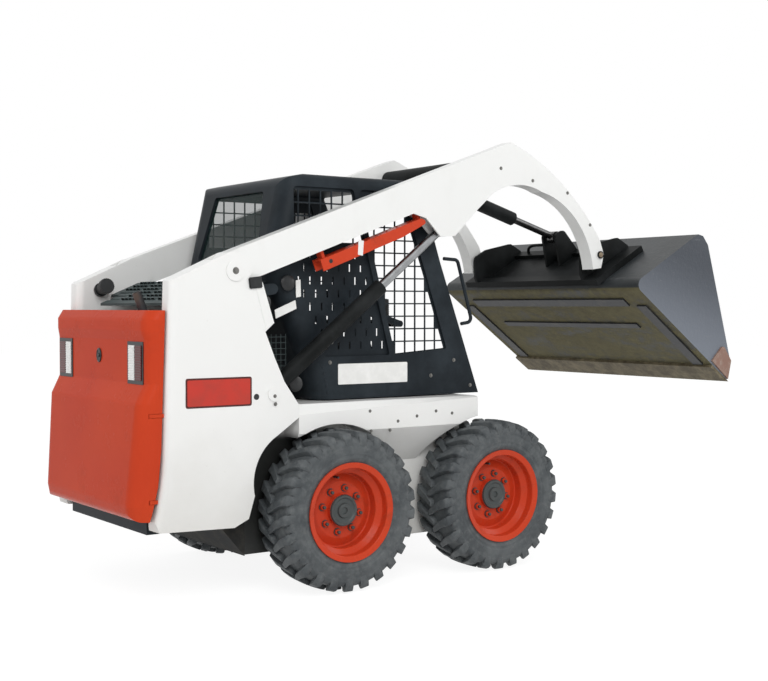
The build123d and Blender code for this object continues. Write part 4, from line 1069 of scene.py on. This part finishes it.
# ---------------------------------------------------------------- cylinders
# Drawn tube barrels in black enamel with ground and chromed rods under a film of oil and dust.
dress(black, "lift_barrel_right", "lift_barrel_left", "tilt_barrel")
chrome = Paint("chromed_steel")
film = chrome.noise(20.0, 4.0, stretch=(1, 8, 1))
chrome.set(Base_Color=chrome.mix(film, (0.20, 0.205, 0.21), (0.42, 0.43, 0.44)))
chrome.set(Metallic=1.0, Roughness=film * 0.2 + 0.18)
dress(chrome, "lift_rod_right", "lift_rod_left")
dark_chrome = Paint("oiled_rod")
dark_chrome.set(Base_Color=dark_chrome.mix(dark_chrome.noise(30.0), (0.05, 0.05, 0.05), (0.15, 0.15, 0.15)))
dark_chrome.set(Metallic=0.9, Roughness=0.3)
dress(dark_chrome, "tilt_rod")


# ---------------------------------------------------------------- quick-attach frame
# Welded plate in black enamel, oily round its pins, with two hand levers that wedge the bucket on.
dress(black, "quick_attach")
BACK_SLOPE = math.radians(29.2)


def along_the_back(along, off, y):
    """A place on the frame, along the bucket's back from the arm pin and off it towards the bucket."""
    c, s = math.cos(BACK_SLOPE), math.sin(BACK_SLOPE)
    return (BUCKET_PIN[0] + AXLE_X + along * c + off * s, y, BUCKET_PIN[1] + along * s - off * c)


LEVER = [  # along the back, off it, and Y
    (0.272, 0.104, 0.345), (0.274, 0.072, 0.340), (0.272, 0.050, 0.290), (0.266, 0.046, 0.220),
    (0.262, 0.046, 0.130),
]
for side, sign in SIDES:
    places = [along_the_back(along, off, sign * y) for along, off, y in LEVER]
    fit(tube(f"wedge_lever_{side}", places, 0.009, black, 3, False), "bucket")


# ---------------------------------------------------------------- bucket
# Welded wear-resistant plate in slate paint. Olive mud cakes the floor and heel, the side plates
# keep their paint with rubbed pale edges, and the lower corners are worn to a raw pinkish plate.
slate = Paint("slate_plate")
normal_y = slate.facing("Y")
sideways = slate.step(normal_y.math("ABSOLUTE", normal_y), 0.4, 0.8)
downwards = slate.step(slate.facing("Z") * -1, 0.25, 0.5)
streak = slate.noise(5.0, 8.0, 0.7, stretch=(1, 0.35, 1))
blot = slate.noise(16.0, 8.0, 0.75)
mud = slate.step(streak * 0.6 + blot * 0.4, 0.34, 0.52) * downwards * (1 - sideways)
scuff = slate.step(slate.noise(14.0, 8.0, 0.75, stretch=(1, 0.6, 3)), 0.58, 0.75)
fade = slate.step(slate.along("Z") * -1.2 + slate.along("X") * -0.35, -2.45, -1.75) * sideways
flank = slate.mix(fade, (0.040, 0.048, 0.062), (0.17, 0.19, 0.225))
dull = slate.mix(slate.noise(3.0, 5.0), (0.010, 0.012, 0.013), (0.045, 0.052, 0.056))
plate = slate.mix(sideways, dull, flank)
scuffed = slate.mix(scuff * 0.5, plate, (0.20, 0.21, 0.22))
caked = slate.mix(blot, (0.040, 0.034, 0.013), (0.235, 0.210, 0.110))
slate.set(Base_Color=slate.mix(mud * 0.92, scuffed, caked))
slate.set(Roughness=mud * 0.35 + 0.42, Specular_IOR_Level=0.35)
slate.set(Normal=slate.bump(slate.noise(40.0, 8.0), 0.4, 0.004))
dress(slate, "bucket_shell")

strip_slate = Paint("wear_strip")
strip_scuff = strip_slate.step(strip_slate.noise(12.0, 8.0, 0.75), 0.45, 0.75)
strip_y = strip_slate.along("Y")
at_side = strip_slate.step(strip_y.math("ABSOLUTE", strip_y), 0.8148, 0.8152)
bare_corner = strip_slate.mix(strip_scuff, (0.24, 0.13, 0.095), (0.40, 0.33, 0.28))
strip_tone = strip_slate.mix(strip_scuff, (0.014, 0.016, 0.020), (0.055, 0.052, 0.042))
strip_slate.set(Base_Color=strip_slate.mix(at_side, strip_tone, bare_corner))
strip_slate.set(Roughness=0.5, Normal=strip_slate.bump(strip_slate.noise(50.0, 6.0), 0.4, 0.002))
dress(strip_slate, "wear_plates")

muddy_edge = Paint("muddy_edge")
crust = muddy_edge.step(muddy_edge.noise(12.0, 8.0, 0.75), 0.35, 0.7)
muddy_edge.set(Base_Color=muddy_edge.mix(crust, (0.075, 0.060, 0.032), (0.22, 0.185, 0.115)))
muddy_edge.set(Metallic=0.15, Roughness=0.65)
muddy_edge.set(Normal=muddy_edge.bump(muddy_edge.noise(50.0, 6.0), 0.5, 0.003))
dress(muddy_edge, "cutting_edge")
